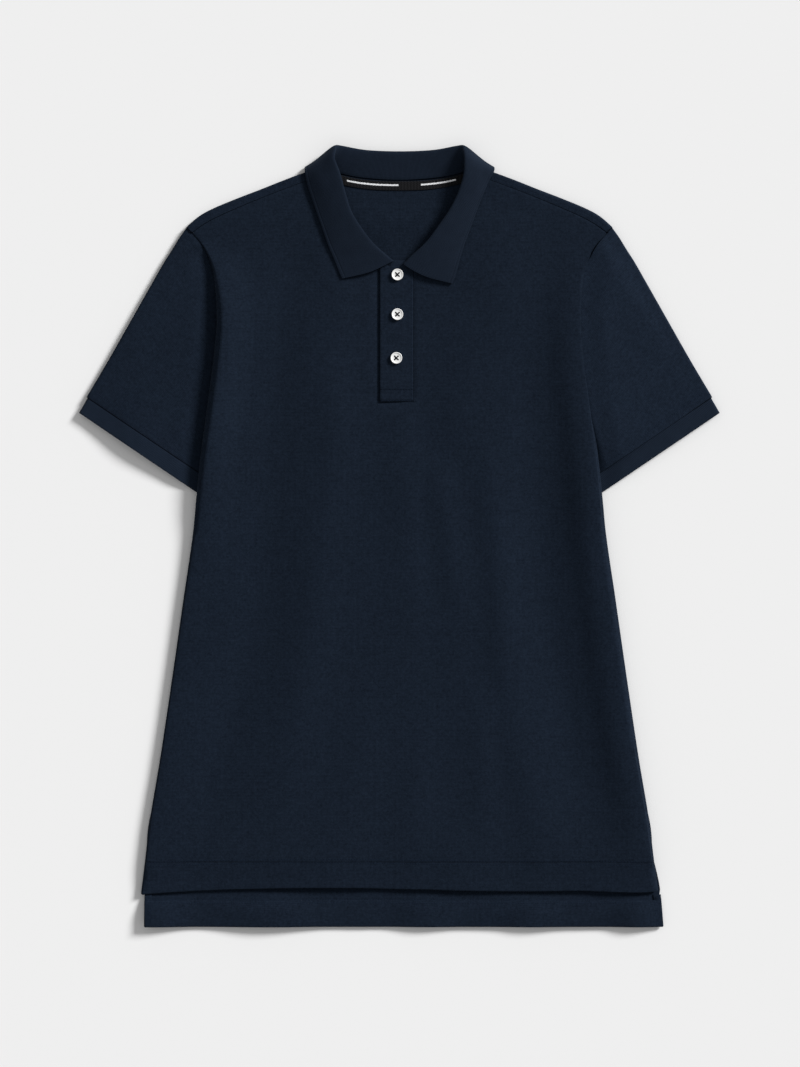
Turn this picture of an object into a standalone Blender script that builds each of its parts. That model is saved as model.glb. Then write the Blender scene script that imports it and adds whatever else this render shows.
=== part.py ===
"""A men's polo shirt laid flat on its back, front side up.

X runs across the shirt, Y from the hem to the collar, Z up from the surface it lies on.
The wearer's right sleeve is at -X.  The origin is the centre of the shirt's footprint.
Lengths below are in millimetres; the meshes are made in metres.
"""
import math

import bmesh
import bpy
import numpy as np

MM = 0.001

# Walls of cloth and the gap that seams keep.
CLOTH = 1.2
CUFF_RIB = 1.4
COLLAR_KNIT = 1.6
TAPE = 0.6
SEAM_GAP = 0.3

# Heights of the middle of each layer above the surface the shirt lies on.
BACK_Z = CLOTH / 2
FRONT_Z = 5.0
UNDER_FOLD_Z = 2.4
SLEEVE_TOP_Z = 4.6
COLLAR_FALL_Z = COLLAR_KNIT / 2
BACK_OVER_COLLAR = 2.2

# Hems, vents and the turned edge of the shoulder.
HEM_DEPTH = 27.5
HEM_RADIUS = 0.75
FRONT_HEM_FOLD_Y = -366.65
BACK_HEM_FOLD_Y = -405.25
VENT_STRIP_TOP_Y = -373.0
VENT_STRIP = 8.0
FOLD_ANGLES = (60, 0, -60)

# The placket and its slot in the front.
SLOT_RIGHT_X = -17.0
SLOT_LEFT_X = 14.7
SLOT_BOTTOM_Y = 139.5
PLACKET_RIGHT_X = -20.3
PLACKET_LEFT_X = 14.4
PLACKET_TOP_Y = 279.0
PLACKET_TAB = (-6.5, 3.5, 286.5)
PLACKET_WALL = 1.8
UNDER_PLACKET_WALL = 1.6

BUTTON_DIAMETER = 12.3
BUTTON_HEIGHT = 2.4
BUTTON_RIM = 1.1
BUTTON_SIDES = 18
BUTTONS = ((-2.1, 271.6), (-2.1, 230.4), (-3.2, 185.0))

# The neck.
NECK_HALF = 79.5
NECK_TOP_Y = 281.0
BACK_NECK_Y = 369.5
BACK_NECK_RISE = 12.6
BACK_NECK_POWER = 2.6
TAPE_WIDTH = 10.0
TAPE_HALF = 73.0

# The shoulder and the armhole: where the front's side ends below the shoulder seam, how far in
# from the outline it does so, and the ends of the seam on the front and on the back.
SHOULDER_TIP_Y = 321.0
ARMHOLE_TOP_Y = 321.5
FRONT_SIDE_END_Y = 314.6
FRONT_SIDE_INSET = 1.6
FRONT_NECK_END_Y = 375.6
FRONT_SEAM_XS = (215.0, 80.2)
BACK_FOLD_END_X = 219.0
BACK_SEAM_END_X = 215.3
UNDERARM_Y = 137.0
CUFF_SEAM_IN_Y = 61.0
CUFF_SEAM_OUT = (325.4, 144.6)
CUFF_MOUTH_IN = (203.0, 40.0)
CUFF_MOUTH_OUT = (333.2, 128.2)
SLEEVE_LIFT = {"right": 5.2, "left": 2.0}

SIDES = (("right", -1), ("left", 1))


class Table:
    """Rows of named columns, read smoothly and without overshoot along the first column."""

    def __init__(self, columns, rows):
        self.names = columns.split()
        self.rows = np.array(sorted(rows), dtype=float)

    def at(self, where, column):
        x = self.rows[:, 0]
        y = self.rows[:, self.names.index(column)]
        if where <= x[0] or where >= x[-1]:
            return float(y[0] if where <= x[0] else y[-1])
        rise = np.diff(y) / np.diff(x)
        slope = np.concatenate(([rise[0]], (rise[:-1] + rise[1:]) / 2, [rise[-1]]))
        for i, (before, after) in enumerate(zip(rise[:-1], rise[1:]), start=1):
            limit = 0.0 if before * after <= 0 else 3 * min(abs(before), abs(after))
            slope[i] = math.copysign(min(abs(slope[i]), limit), slope[i])
        i = int(np.searchsorted(x, where)) - 1
        span = x[i + 1] - x[i]
        t = (where - x[i]) / span
        return float(
            (2 * t**3 - 3 * t**2 + 1) * y[i] + (t**3 - 2 * t**2 + t) * span * slope[i]
            + (3 * t**2 - 2 * t**3) * y[i + 1] + (t**3 - t**2) * span * slope[i + 1]
        )


# The body's side, from the hem up to the shoulder tip: half its width, the height of the
# rolled edge, the height of the layer turned under it, and how far that layer reaches in.
SIDE = Table("y half top under tuck", [
    (321.5, 222.0, 5.2, 3.3, 1.5),
    (302, 205.0, 5.4, 3.5, 1.5),
    (290, 198.5, 5.8, 3.8, 2.0),
    (279, 194.5, 6.2, 3.9, 3.0),
    (248, 190.5, 7.0, 4.0, 9.0),
    (224, 189.8, 7.2, 4.0, 13.0),
    (189, 192.5, 7.2, 4.0, 13.0),
    (137, 199.2, 7.2, 4.0, 7.0),
    (82, 206.6, 7.0, 4.0, 5.5),
    (36, 211.4, 6.6, 4.0, 5.5),
    (6, 214.3, 5.4, 2.15, 7.0),
    (-66, 224.7, 5.2, 2.15, 8.0),
    (-149, 236.6, 5.2, 2.15, 8.0),
    (-232, 249.0, 5.2, 2.15, 8.0),
    (-295, 259.5, 5.2, 2.15, 8.0),
    (-336, 264.7, 5.2, 2.15, 7.0),
    (-368, 269.0, 5.2, 2.15, 6.5),
])

# The back below the side seams: its own two edges, which show under the front's hem.
BACK_SIDE = Table("y right left", [
    (-330, 263.0, 263.0),
    (-363, 265.0, 270.6),
    (-406, 265.4, 274.8),
])

# The folded edge of the shoulder, and the seam that joins the back to the front below it.
SHOULDER_FOLD = Table("x y", [
    (79.5, 384.5), (98, 378.3), (118, 371.0), (144, 360.8), (171, 350.4),
    (196, 339.8), (206, 334.4), (213, 329.2), (218.5, 324.2), (222, 321.0),
])
SHOULDER_SEAM = Table("x y", [
    (79.5, 376.0), (98, 369.0), (130, 357.0), (164, 343.2), (193, 330.2), (204, 324.0),
    (215.5, 315.8),
])

# The front's neck edge, from the shoulder seam down to the placket.
NECK = Table("y half", [
    (376, 80.2), (360, 79.0), (346, 73.6), (330, 66.6), (314, 57.2), (298, 44.2),
    (288, 30.0), (281, 15.0),
])

# The front's hem edge, and the waves of both hems: centre, half width, height.
HEM = Table("x y", [
    (-269, -371.2), (-164, -367.2), (-65, -366.0), (0, -367.2), (130, -369.6), (187, -369.0),
    (250, -370.6), (269, -369.0),
])
FRONT_WAVES = ((-75, 36, 1.6), (55, 40, 1.4), (212, 44, 1.8))
BACK_WAVES = ((-136, 56, 2.2), (28, 32, 1.8), (139, 32, 1.8), (251, 20, 0.8))

# The broad folds of the front: where each starts and ends, its half width and its height.
FOLDS = (
    ((-120, 236), (-128, -160), 22, -0.9),
    ((-184, 100), (-196, -260), 16, -0.7),
    ((-24, 128), (-84, -160), 20, -0.9),
    ((-8, 88), (-10, -110), 30, 0.9),
    ((147, 150), (152, -270), 26, -1.0),
    ((166, 272), (214, -200), 22, 0.8),
)

# The sleeve's folded outer edge, from the shoulder tip to the cuff seam.
SLEEVE_EDGE = Table("y x", [
    (321.5, 222.0), (312.5, 228.4), (298, 237.2), (287.6, 243.8), (266.8, 255.6),
    (225, 279.0), (183.6, 302.4), (144.6, 325.4),
])

# Sections of the collar.  Each runs from the neck seam over the roll and the bend of the
# fall to the outer edge.  The front ends come first, and the back half is mirrored.
COLLAR_COLUMNS = ("neck", "roll", "bend", "edge")
COLLAR_RIGHT = (
    ((-11.0, 281.8, 5.6), (-7.4, 285.2, 8.9), (-30.5, 274.3, 8.7), (-59.5, 267.4, 7.7)),
    ((-22.4, 286.2, 5.5), (-13.8, 290.8, 10.0), (-38.0, 281.8, 9.4), (-62.6, 274.4, 7.7)),
    ((-41.0, 298.6, 5.5), (-26.2, 302.2, 11.4), (-46.0, 292.8, 10.2), (-68.0, 288.0, 7.7)),
    ((-54.6, 315.2, 5.5), (-38.8, 318.0, 12.4), (-57.6, 308.4, 10.8), (-73.4, 300.6, 7.7)),
    ((-64.0, 331.4, 5.6), (-50.2, 336.4, 13.4), (-66.4, 328.6, 11.4), (-80.6, 321.2, 7.7)),
    ((-71.4, 348.0, 5.8), (-56.6, 356.0, 14.6), (-73.6, 350.0, 12.6), (-88.8, 344.6, 7.8)),
    ((-76.8, 362.0, 6.0), (-61.6, 374.6, 16.4), (-80.4, 370.6, 13.8), (-95.6, 365.4, 8.0)),
)
COLLAR_LEFT = (
    ((9.0, 283.4, 5.8), (5.4, 281.4, 9.2), (26.5, 269.8, 8.8), (55.2, 262.2, 7.7)),
    ((22.0, 286.2, 5.5), (13.2, 290.2, 10.0), (37.0, 280.2, 9.4), (58.4, 270.6, 7.7)),
    ((41.0, 298.6, 5.5), (29.4, 306.0, 11.4), (46.4, 296.4, 10.2), (62.2, 285.0, 7.7)),
    ((54.6, 315.2, 5.5), (41.8, 322.6, 12.4), (56.4, 313.0, 10.8), (67.4, 302.6, 7.7)),
    ((64.0, 331.4, 5.6), (53.2, 339.4, 13.4), (65.4, 331.2, 11.2), (74.8, 322.6, 7.7)),
    ((71.4, 348.0, 5.8), (61.4, 356.4, 14.6), (74.0, 351.4, 12.2), (83.0, 345.2, 7.8)),
    ((76.8, 362.0, 6.0), (67.0, 374.8, 16.4), (81.0, 371.6, 13.6), (91.6, 366.4, 8.0)),
)
COLLAR_BACK = (
    ((77.4, 374.6, 6.2), (67.6, 391.0, 17.0), (83.0, 385.0, 12.6), (98.0, 378.4, 7.8)),
    ((76.8, 381.0, 5.2), (67.0, 399.6, 15.6), (85.0, 391.0, 7.0), (97.4, 383.6, 0.9)),
    ((71.4, 381.0, 3.8), (65.6, 404.2, 12.8), (81.0, 393.6, 2.2), (90.5, 374.0, 0.8)),
    ((62.0, 377.6, 3.5), (58.6, 403.8, 9.6), (66.6, 394.0, 1.0), (72.0, 358.0, 0.8)),
    ((38.0, 373.0, 3.4), (34.6, 399.6, 7.4), (36.6, 390.0, 0.9), (40.0, 351.6, 0.8)),
)
COLLAR_CENTRE = ((0.0, 370.6, 3.4), (0.0, 398.2, 6.8), (0.0, 388.6, 0.9), (0.0, 350.0, 0.8))
COLLAR_STEPS_ALONG = 2
COLLAR_STEPS_ACROSS = 3


def ease(value, start, end):
    """0 before start, 1 after end, and a smooth step between them."""
    t = min(max((value - start) / (end - start), 0.0), 1.0)
    return t * t * (3 - 2 * t)


def mix(a, b, t):
    return a + (b - a) * t


def clear_scene():
    for item in list(bpy.data.objects):
        bpy.data.objects.remove(item, do_unlink=True)


def material(name, colour, roughness):
    """A plain finish of one colour."""
    result = bpy.data.materials.new(name)
    result.use_nodes = True
    shader = result.node_tree.nodes["Principled BSDF"]
    shader.inputs["Base Color"].default_value = (*colour, 1.0)
    shader.inputs["Roughness"].default_value = roughness
    shader.inputs["Metallic"].default_value = 0.0
    return result


def weave(name, grids, wall, finish):
    """Make one cloth object from grids of points on its middle surface, None where it is cut."""
    mesh = bmesh.new()
    for grid in grids:
        rows = [[p and mesh.verts.new([c * MM for c in p]) for p in row] for row in grid]
        for lower, upper in zip(rows[:-1], rows[1:]):
            for corners in zip(lower[:-1], lower[1:], upper[1:], upper[:-1]):
                if all(corners):
                    mesh.faces.new(corners)
    loose = [v for v in mesh.verts if not v.link_faces]
    bmesh.ops.delete(mesh, geom=loose, context="VERTS")
    bmesh.ops.remove_doubles(mesh, verts=mesh.verts, dist=0.01 * MM)
    bmesh.ops.recalc_face_normals(mesh, faces=mesh.faces)
    piece = bpy.data.objects.new(name, bpy.data.meshes.new(name))
    mesh.to_mesh(piece.data)
    mesh.free()
    piece.data.materials.append(finish)
    piece.data.shade_smooth()
    bpy.context.collection.objects.link(piece)
    thicken = piece.modifiers.new("wall", "SOLIDIFY")
    thicken.thickness = wall * MM
    thicken.offset = 0.0
    return piece


def seam_reach(y):
    """How far the side or armhole seam lies inside the body's outline."""
    radius = (SIDE.at(y, "top") - SIDE.at(y, "under")) / 2
    return CLOTH / 2 + radius + SIDE.at(y, "tuck")


def armhole(y):
    """How far from the middle the side or armhole seam runs."""
    return SIDE.at(y, "half") - seam_reach(y)


def front_height(x, y):
    """Height of the middle of the front: broad folds, the rolled sides and the hem's waves."""
    inside = SIDE.at(y, "half") - abs(x)
    height = mix(SIDE.at(y, "top"), FRONT_Z, ease(inside, 4, 45))
    for start, end, half_width, rise in FOLDS:
        along = (start[1] - y) / (start[1] - end[1])
        centre = mix(start[0], end[0], along)
        ends = ease(along, -0.08, 0.2) * ease(-along, -1.15, -0.75)
        height += rise * ends * math.exp(-(((x - centre) / half_width) ** 2))
    for centre, half_width, rise in FRONT_WAVES:
        near_hem = ease(-y, 250, 368)
        height += rise * near_hem * math.exp(-(((x - centre) / half_width) ** 2))
    beside_slot = ease(x, SLOT_RIGHT_X - 11, SLOT_RIGHT_X - 5) * ease(-x, -2, 0)
    height -= 1.4 * beside_slot * ease(y, SLOT_BOTTOM_Y - 6, SLOT_BOTTOM_Y)
    return height + 0.3 * ease(y, 300, 340)


def back_height(x, y):
    """Height of the middle of the back: flat, but for the collar under it and the hem's waves."""
    over_collar = ease(y, 296, 334) * ease(-abs(x), -152, -108)
    height = BACK_Z + BACK_OVER_COLLAR * over_collar
    for centre, half_width, rise in BACK_WAVES:
        near_hem = ease(-y, 352, 406) ** 1.5
        height += rise * near_hem * math.exp(-(((x - centre) / half_width) ** 2))
    return height


def inward(before, after, toward):
    """The level unit vector square to the run from before to after, on the side of toward."""
    run = (after[0] - before[0], after[1] - before[1])
    length = math.hypot(*run)
    normal = (-run[1] / length, run[0] / length)
    if normal[0] * (toward[0] - before[0]) + normal[1] * (toward[1] - before[1]) < 0:
        normal = (-normal[0], -normal[1])
    return normal


def rolled_edge(point, normal, top, under):
    """Points round a folded edge from the lower layer to the upper one, from its outline."""
    radius = (top - under) / 2
    middle = (top + under) / 2
    turn = []
    for angle in (-90, *reversed(FOLD_ANGLES), 90):
        a = math.radians(angle)
        reach = CLOTH / 2 + radius * (1 - math.cos(a))
        turn.append((
            point[0] + normal[0] * reach,
            point[1] + normal[1] * reach,
            middle + radius * math.sin(a),
        ))
    return turn


def front_columns(sign):
    """The slot's edge on this half, and the shares of the way there at which columns stand."""
    slot = SLOT_LEFT_X if sign > 0 else SLOT_RIGHT_X
    return slot, (0.0, 0.07, 0.2, 0.38, 0.58, 0.79, 0.94, 0.972, 1.0)


def front_hem_y(x, y):
    """Bend the rows near the hem to follow the hem's edge."""
    return y + (HEM.at(x, "y") + 368) * ease(-y, 300, 366)


def front_row(sign, y):
    """One level row of the front's half, from the side seam to the slot or the neck."""
    slot, shares = front_columns(sign)
    half = SIDE.at(y, "half")
    outline = (sign * half, y)
    normal = inward((sign * SIDE.at(y - 1, "half"), y - 1), (sign * SIDE.at(y + 1, "half"), y + 1), (0, y))
    turn = rolled_edge(outline, normal, SIDE.at(y, "top"), SIDE.at(y, "under"))
    reach = SIDE.at(y, "tuck")
    tuck = (turn[0][0] + normal[0] * reach, turn[0][1] + normal[1] * reach, turn[0][2])
    start = turn[-1]
    row = [tuck] + turn[:-1]
    for share in shares:
        x = mix(start[0], slot, share)
        level = mix(start[1], y, share)
        row.append((x, level, front_height(x, level)))
    return [(p[0], front_hem_y(p[0], p[1]), p[2]) for p in row]


def front_upper(sign, across, up):
    """A place on the front's half above the neck's lowest point, between its four edges."""
    def side(t):
        y = mix(NECK_TOP_Y, FRONT_SIDE_END_Y, t)
        return sign * (SIDE.at(y, "half") - FRONT_SIDE_INSET), y - SEAM_GAP * 2 * t

    def neck(t):
        y = mix(NECK_TOP_Y, FRONT_NECK_END_Y, t)
        slot = SLOT_LEFT_X if sign > 0 else -SLOT_RIGHT_X
        return sign * max(NECK.at(y, "half"), slot), y

    def seam(s):
        x = mix(*FRONT_SEAM_XS, s)
        return sign * x, SHOULDER_SEAM.at(x, "y") - SEAM_GAP

    def base(s):
        return mix(side(0)[0], neck(0)[0], s), NECK_TOP_Y

    corners = (side(0), neck(0), side(1), neck(1))
    blend = []
    for axis in (0, 1):
        rails = mix(side(up)[axis], neck(up)[axis], across) + mix(base(across)[axis], seam(across)[axis], up)
        flat = mix(
            mix(corners[0][axis], corners[1][axis], across),
            mix(corners[2][axis], corners[3][axis], across),
            up,
        )
        blend.append(rails - flat)
    return blend


def front_upper_row(sign, up):
    """One row of the front's half between the neck's lowest point and the shoulder seam."""
    shares = front_columns(sign)[1]
    y = mix(NECK_TOP_Y, FRONT_SIDE_END_Y, up)
    outline = (sign * SIDE.at(y, "half"), y)
    normal = inward((sign * SIDE.at(y - 1, "half"), y - 1), (sign * SIDE.at(y + 1, "half"), y + 1), (0, y))
    turn = rolled_edge(outline, normal, SIDE.at(y, "top"), SIDE.at(y, "under"))
    reach = SIDE.at(y, "tuck")
    row = [(turn[0][0] + normal[0] * reach, turn[0][1] + normal[1] * reach, turn[0][2])] + turn
    first = front_upper(sign, 0.0, up)
    for share in shares[1:]:
        x, level = front_upper(sign, share, up)
        x += (turn[-1][0] - first[0]) * (1 - share)
        level += (turn[-1][1] - first[1]) * (1 - share)
        row.append((x, level, front_height(x, level)))
    return row


def make_front(finish):
    """The front, cut away for the neck and the placket, with its sides and hem turned under."""
    levels = (
        FRONT_HEM_FOLD_Y, -354, -332, -300, -250, -200, -150, -96, -42, 6, 36, 72, 108, SLOT_BOTTOM_Y - 6,
        SLOT_BOTTOM_Y, 172, 204, 236, 262, NECK_TOP_Y,
    )
    rises = (0.08, 0.27, 0.5, 0.75, 1.0)
    grid = []
    for y in levels:
        right = front_row(-1, y)
        left = front_row(1, y)
        middle = (SLOT_RIGHT_X + SLOT_LEFT_X) / 2
        below_slot = y <= SLOT_BOTTOM_Y
        centre = (middle, front_hem_y(middle, y), front_height(middle, y)) if below_slot else None
        grid.append(right + [centre] + left[::-1])
    for up in rises:
        grid.append(front_upper_row(-1, up) + [None] + front_upper_row(1, up)[::-1])
    hem = []
    turned_columns = grid[0][5:-5]
    for x, y, z in turned_columns:
        edge_y = y - CLOTH / 2 - HEM_RADIUS
        turn = rolled_edge((x, edge_y), (0.0, 1.0), z, z - 2 * HEM_RADIUS)
        under = turn[0]
        hem.append([
            (under[0], under[1] + HEM_DEPTH - 1, under[2]),
            (under[0], under[1] + HEM_DEPTH / 2, under[2]),
            *turn,
        ])
    return weave("front", [grid, hem], CLOTH, finish)


def back_half(sign, y):
    """Half the back's width at y, its armhole edge above the underarm."""
    low = BACK_SIDE.at(y, "left" if sign > 0 else "right")
    side = mix(low, SIDE.at(y, "half") - 1.0, ease(y, -330, -270))
    return mix(side, armhole(y) - 4 * SEAM_GAP, ease(y, 6, 34))


def back_neck_y(x):
    """The back's neck edge, which curves down to the middle."""
    return BACK_NECK_Y + BACK_NECK_RISE * (min(abs(x), NECK_HALF) / NECK_HALF) ** BACK_NECK_POWER


def back_fold(sign, x):
    """The turn of the shoulder at x, from the back's layer up to the seam with the front."""
    y = SHOULDER_FOLD.at(x, "y")
    before = (sign * (x - 1), SHOULDER_FOLD.at(x - 1, "y"))
    after = (sign * (x + 1), SHOULDER_FOLD.at(x + 1, "y"))
    normal = inward(before, after, (0, 0))
    top = front_height(sign * x, y - 6)
    turn = rolled_edge((sign * x, y), normal, top, back_height(x, y - 6))
    end_x = mix(NECK_HALF, BACK_SEAM_END_X, (x - NECK_HALF) / (BACK_FOLD_END_X - NECK_HALF))
    end_y = SHOULDER_SEAM.at(end_x, "y")
    end = (sign * end_x, end_y, front_height(sign * end_x, end_y))
    halfway = tuple(mix(a, b, 0.5) for a, b in zip(turn[-1], end))
    return turn + [halfway, end]


def make_back(finish):
    """The back, with its vent strips, its turned hem and the shoulders that wrap to the front."""
    shares = (0.0, 0.034, 0.14, 0.28, 0.42, 0.56, 0.7, 0.85, 1.0)
    shoulder_xs = (BACK_FOLD_END_X, 209.0, 186.0, 152.0, 112.0, NECK_HALF)
    neck_xs = (55.0, 28.0, 0.0)
    levels = (BACK_HEM_FOLD_Y, -390, VENT_STRIP_TOP_Y, -354, -326, -270, -190, -100, 6, 34, 86, UNDERARM_Y,
              180, 230, 278)
    rises = (0.28, 0.54, 0.78, 1.0)
    grids = []
    for _, sign in SIDES:
        grid = []
        for y in levels:
            half = back_half(sign, y)
            turned = y <= VENT_STRIP_TOP_Y
            first = 1 - (VENT_STRIP + CLOTH / 2 + HEM_RADIUS) / half
            xs = [sign * half * (1 - share) for share in shares]
            if turned:
                xs = [sign * (half - CLOTH / 2 - HEM_RADIUS), sign * half * first] + xs[2:]
            row = [(x, y, back_height(x, y)) for x in xs]
            strip = [None] * 5
            if turned:
                turn = rolled_edge((sign * half, y), (-sign, 0.0), row[0][2] + 2 * HEM_RADIUS, row[0][2])
                flap = (turn[-1][0] - sign * (VENT_STRIP - 1.5), y, turn[-1][2])
                strip = [flap] + turn[:0:-1]
            grid.append(strip + row)
        shoulder = [back_fold(sign, x) for x in shoulder_xs]
        crest = [fold[0] for fold in shoulder]
        crest += [(sign * x, back_neck_y(x), back_height(x, back_neck_y(x))) for x in neck_xs]
        base = grid[-1][5:]
        for up in rises:
            y_side = mix(levels[-1], crest[0][1], up)
            side_x = sign * back_half(sign, min(y_side, SHOULDER_TIP_Y))
            row = []
            for i, (low, high) in enumerate(zip(base, crest)):
                share = i / (len(crest) - 1)
                drift = side_x - mix(base[0][0], crest[0][0], up)
                x = mix(low[0], high[0], up) + (drift * (1 - share) ** 2 if 0 < up < 1 else 0.0)
                y = mix(low[1], high[1], up)
                row.append((x, y, back_height(x, y) if up < 1 else high[2]))
            grid.append([None] * 5 + row)
        grids.append(grid)
        grids.append([list(step) for step in zip(*shoulder)])
        hem = []
        for x, y, z in grid[0][6:]:
            turn = rolled_edge((x, y - CLOTH / 2 - HEM_RADIUS), (0.0, 1.0), z + 2 * HEM_RADIUS, z)
            upper = turn[-1]
            middle = back_height(x, upper[1] + HEM_DEPTH / 2) + 2 * HEM_RADIUS
            far = back_height(x, upper[1] + HEM_DEPTH) + 2 * HEM_RADIUS
            hem.append(turn + [
                (x, upper[1] + HEM_DEPTH / 2, middle),
                (x, upper[1] + HEM_DEPTH - 1, far),
            ])
        grids.append(hem)
    return weave("back", grids, CLOTH, finish)


def sleeve_layers(side, x, y, along, wall):
    """Heights of the sleeve's lower and upper layers at a place, along from armhole to cuff."""
    beyond = abs(x) - SIDE.at(y, "half")
    lift = SLEEVE_LIFT[side] * along**1.5 * ease(beyond, 4, 90)
    at_seam = mix(UNDER_FOLD_Z, SLEEVE_TOP_Z, ease(y, 284, 303))
    upper = mix(at_seam, SLEEVE_TOP_Z, ease(beyond, 2.5, 26))
    return wall / 2 + lift, upper + lift


def sleeve_place(sign, along, across, layer):
    """A place on the sleeve: along from armhole to cuff, across from underarm to outer edge."""
    def at_armhole(w):
        y = mix(UNDERARM_Y, ARMHOLE_TOP_Y, w)
        under_fold = armhole(y)
        beside = SIDE.at(y, "half") + 1.3
        return mix(under_fold, beside, layer * ease(y, 277, 291)), y

    def at_cuff(w):
        inner = (armhole(CUFF_SEAM_IN_Y), CUFF_SEAM_IN_Y)
        return mix(inner[0], CUFF_SEAM_OUT[0], w), mix(inner[1], CUFF_SEAM_OUT[1], w)

    def underarm(s):
        y = mix(UNDERARM_Y, CUFF_SEAM_IN_Y, s)
        return armhole(y), y

    def outer(s):
        y = mix(ARMHOLE_TOP_Y, CUFF_SEAM_OUT[1], s)
        start = at_armhole(1)[0] - SLEEVE_EDGE.at(ARMHOLE_TOP_Y, "x")
        return SLEEVE_EDGE.at(y, "x") + start * (1 - s) ** 4, y

    place = []
    for axis in (0, 1):
        rails = mix(at_armhole(across)[axis], at_cuff(across)[axis], along)
        rails += mix(underarm(along)[axis], outer(along)[axis], across)
        flat = mix(
            mix(at_armhole(0)[axis], at_armhole(1)[axis], across),
            mix(at_cuff(0)[axis], at_cuff(1)[axis], across),
            along,
        )
        place.append(rails - flat)
    return sign * place[0], place[1]


def cuff_place(sign, along, across, layer):
    """A place on the cuff: along from its seam to its mouth, across as on the sleeve."""
    inner = mix(armhole(CUFF_SEAM_IN_Y), CUFF_MOUTH_IN[0], along), mix(CUFF_SEAM_IN_Y, CUFF_MOUTH_IN[1], along)
    outer = mix(CUFF_SEAM_OUT[0], CUFF_MOUTH_OUT[0], along), mix(CUFF_SEAM_OUT[1], CUFF_MOUTH_OUT[1], along)
    return sign * mix(inner[0], outer[0], across), mix(inner[1], outer[1], across)


def tube(name, side, sign, place, stations, reach, wall, finish):
    """A flattened tube: an upper and a lower layer joined by a turn at each long edge."""
    rows = []
    for along in stations:
        in_x, in_y = place(sign, along, 0.0, 0.5)
        out_x, out_y = place(sign, along, 1.0, 0.5)
        width = math.hypot(out_x - in_x, out_y - in_y)
        whole = reach(along)

        def layers(across):
            return sleeve_layers(side, *place(sign, along, across, 0.5), whole, wall)

        radii = [(top - low) / 2 for low, top in (layers(0.0), layers(1.0))]
        first = (wall / 2 + radii[0]) / width
        last = 1 - (wall / 2 + radii[1]) / width
        ring = []
        shares = (0.0, 0.06, 0.18, 0.34, 0.52, 0.7, 0.765, 0.83, 0.91, 1.0)
        for share in shares:
            across = mix(first, last, share)
            x, y = place(sign, along, across, 1.0)
            ring.append((x, y, sleeve_layers(side, x, y, whole, wall)[1]))
        for edge, heading in ((last, 1), (first, -1)):
            low, top = layers(edge)
            middle, radius = (low + top) / 2, (top - low) / 2
            angles = FOLD_ANGLES if heading > 0 else FOLD_ANGLES[::-1]
            turn = []
            for angle in angles:
                a = math.radians(angle)
                across = edge + heading * radius * math.cos(a) / width
                x, y = place(sign, along, across, (1 + math.sin(a)) / 2)
                turn.append((x, y, middle + radius * math.sin(a)))
            if heading < 0:
                for share in (1.0, 0.91, 0.7, 0.52, 0.34, 0.18, 0.0):
                    across = mix(first, last, share)
                    x, y = place(sign, along, across, 0.0)
                    ring.append((x, y, sleeve_layers(side, x, y, whole, wall)[0]))
            ring += turn
        rows.append(ring + ring[:1])
    return weave(name, [rows], wall, finish)


def make_sleeve(side, sign, finish):
    """A sleeve, flat as pressed, from the armhole to the cuff's seam."""
    stations = (0.0, 0.09, 0.2, 0.38, 0.6, 0.82, 0.997)
    return tube(f"sleeve_{side}", side, sign, sleeve_place, stations, lambda s: s, CLOTH, finish)


def make_cuff(side, sign, finish):
    """The ribbed band at the sleeve's end."""
    stations = (0.02, 0.5, 1.0)
    return tube(f"cuff_{side}", side, sign, cuff_place, stations, lambda s: 1.0, CUFF_RIB, finish)


def through(points, steps):
    """Points on a smooth curve through the given ones, with a few steps in each span."""
    p = [np.array(point, dtype=float) for point in points]
    ends = [2 * p[0] - p[1]] + p + [2 * p[-1] - p[-2]]
    curve = []
    for a, b, c, d in zip(ends, ends[1:], ends[2:], ends[3:]):
        for i in range(steps):
            t = i / steps
            curve.append(
                0.5 * (2 * b + (c - a) * t + (2 * a - 5 * b + 4 * c - d) * t**2
                       + (3 * b - a - 3 * c + d) * t**3)
            )
    return curve + [p[-1]]


def make_collar(finish):
    """The knitted collar, one piece from neck seam to outer edge, round both front ends."""
    mirrored = [tuple((-x, y, z) for x, y, z in section) for section in COLLAR_BACK]
    sections = [*COLLAR_RIGHT, *mirrored, COLLAR_CENTRE, *COLLAR_BACK[::-1], *COLLAR_LEFT[::-1]]
    rails = [through([section[i] for section in sections], COLLAR_STEPS_ALONG)
             for i in range(len(COLLAR_COLUMNS))]
    grid = [[(x, y, max(z, COLLAR_FALL_Z)) for x, y, z in through(station, COLLAR_STEPS_ACROSS)]
            for station in zip(*rails)]
    return weave("collar", [grid], COLLAR_KNIT, finish)


def make_neck_tape(finish):
    """The tape that covers the back neck seam."""
    grid = []
    for down in (SEAM_GAP * 2, TAPE_WIDTH / 2, TAPE_WIDTH):
        row = []
        for x in np.linspace(-TAPE_HALF, TAPE_HALF, 15):
            y = back_neck_y(x) - down
            row.append((float(x), y, back_height(x, y) + (CLOTH + TAPE) / 2 + SEAM_GAP))
        grid.append(row)
    return weave("neck_tape", [grid], TAPE, finish)


def upper_placket_height(x):
    """Height of the middle of the upper placket strip, which tilts down to its folded edge."""
    return mix(5.65, 5.25, ease(x, PLACKET_RIGHT_X, PLACKET_LEFT_X))


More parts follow.
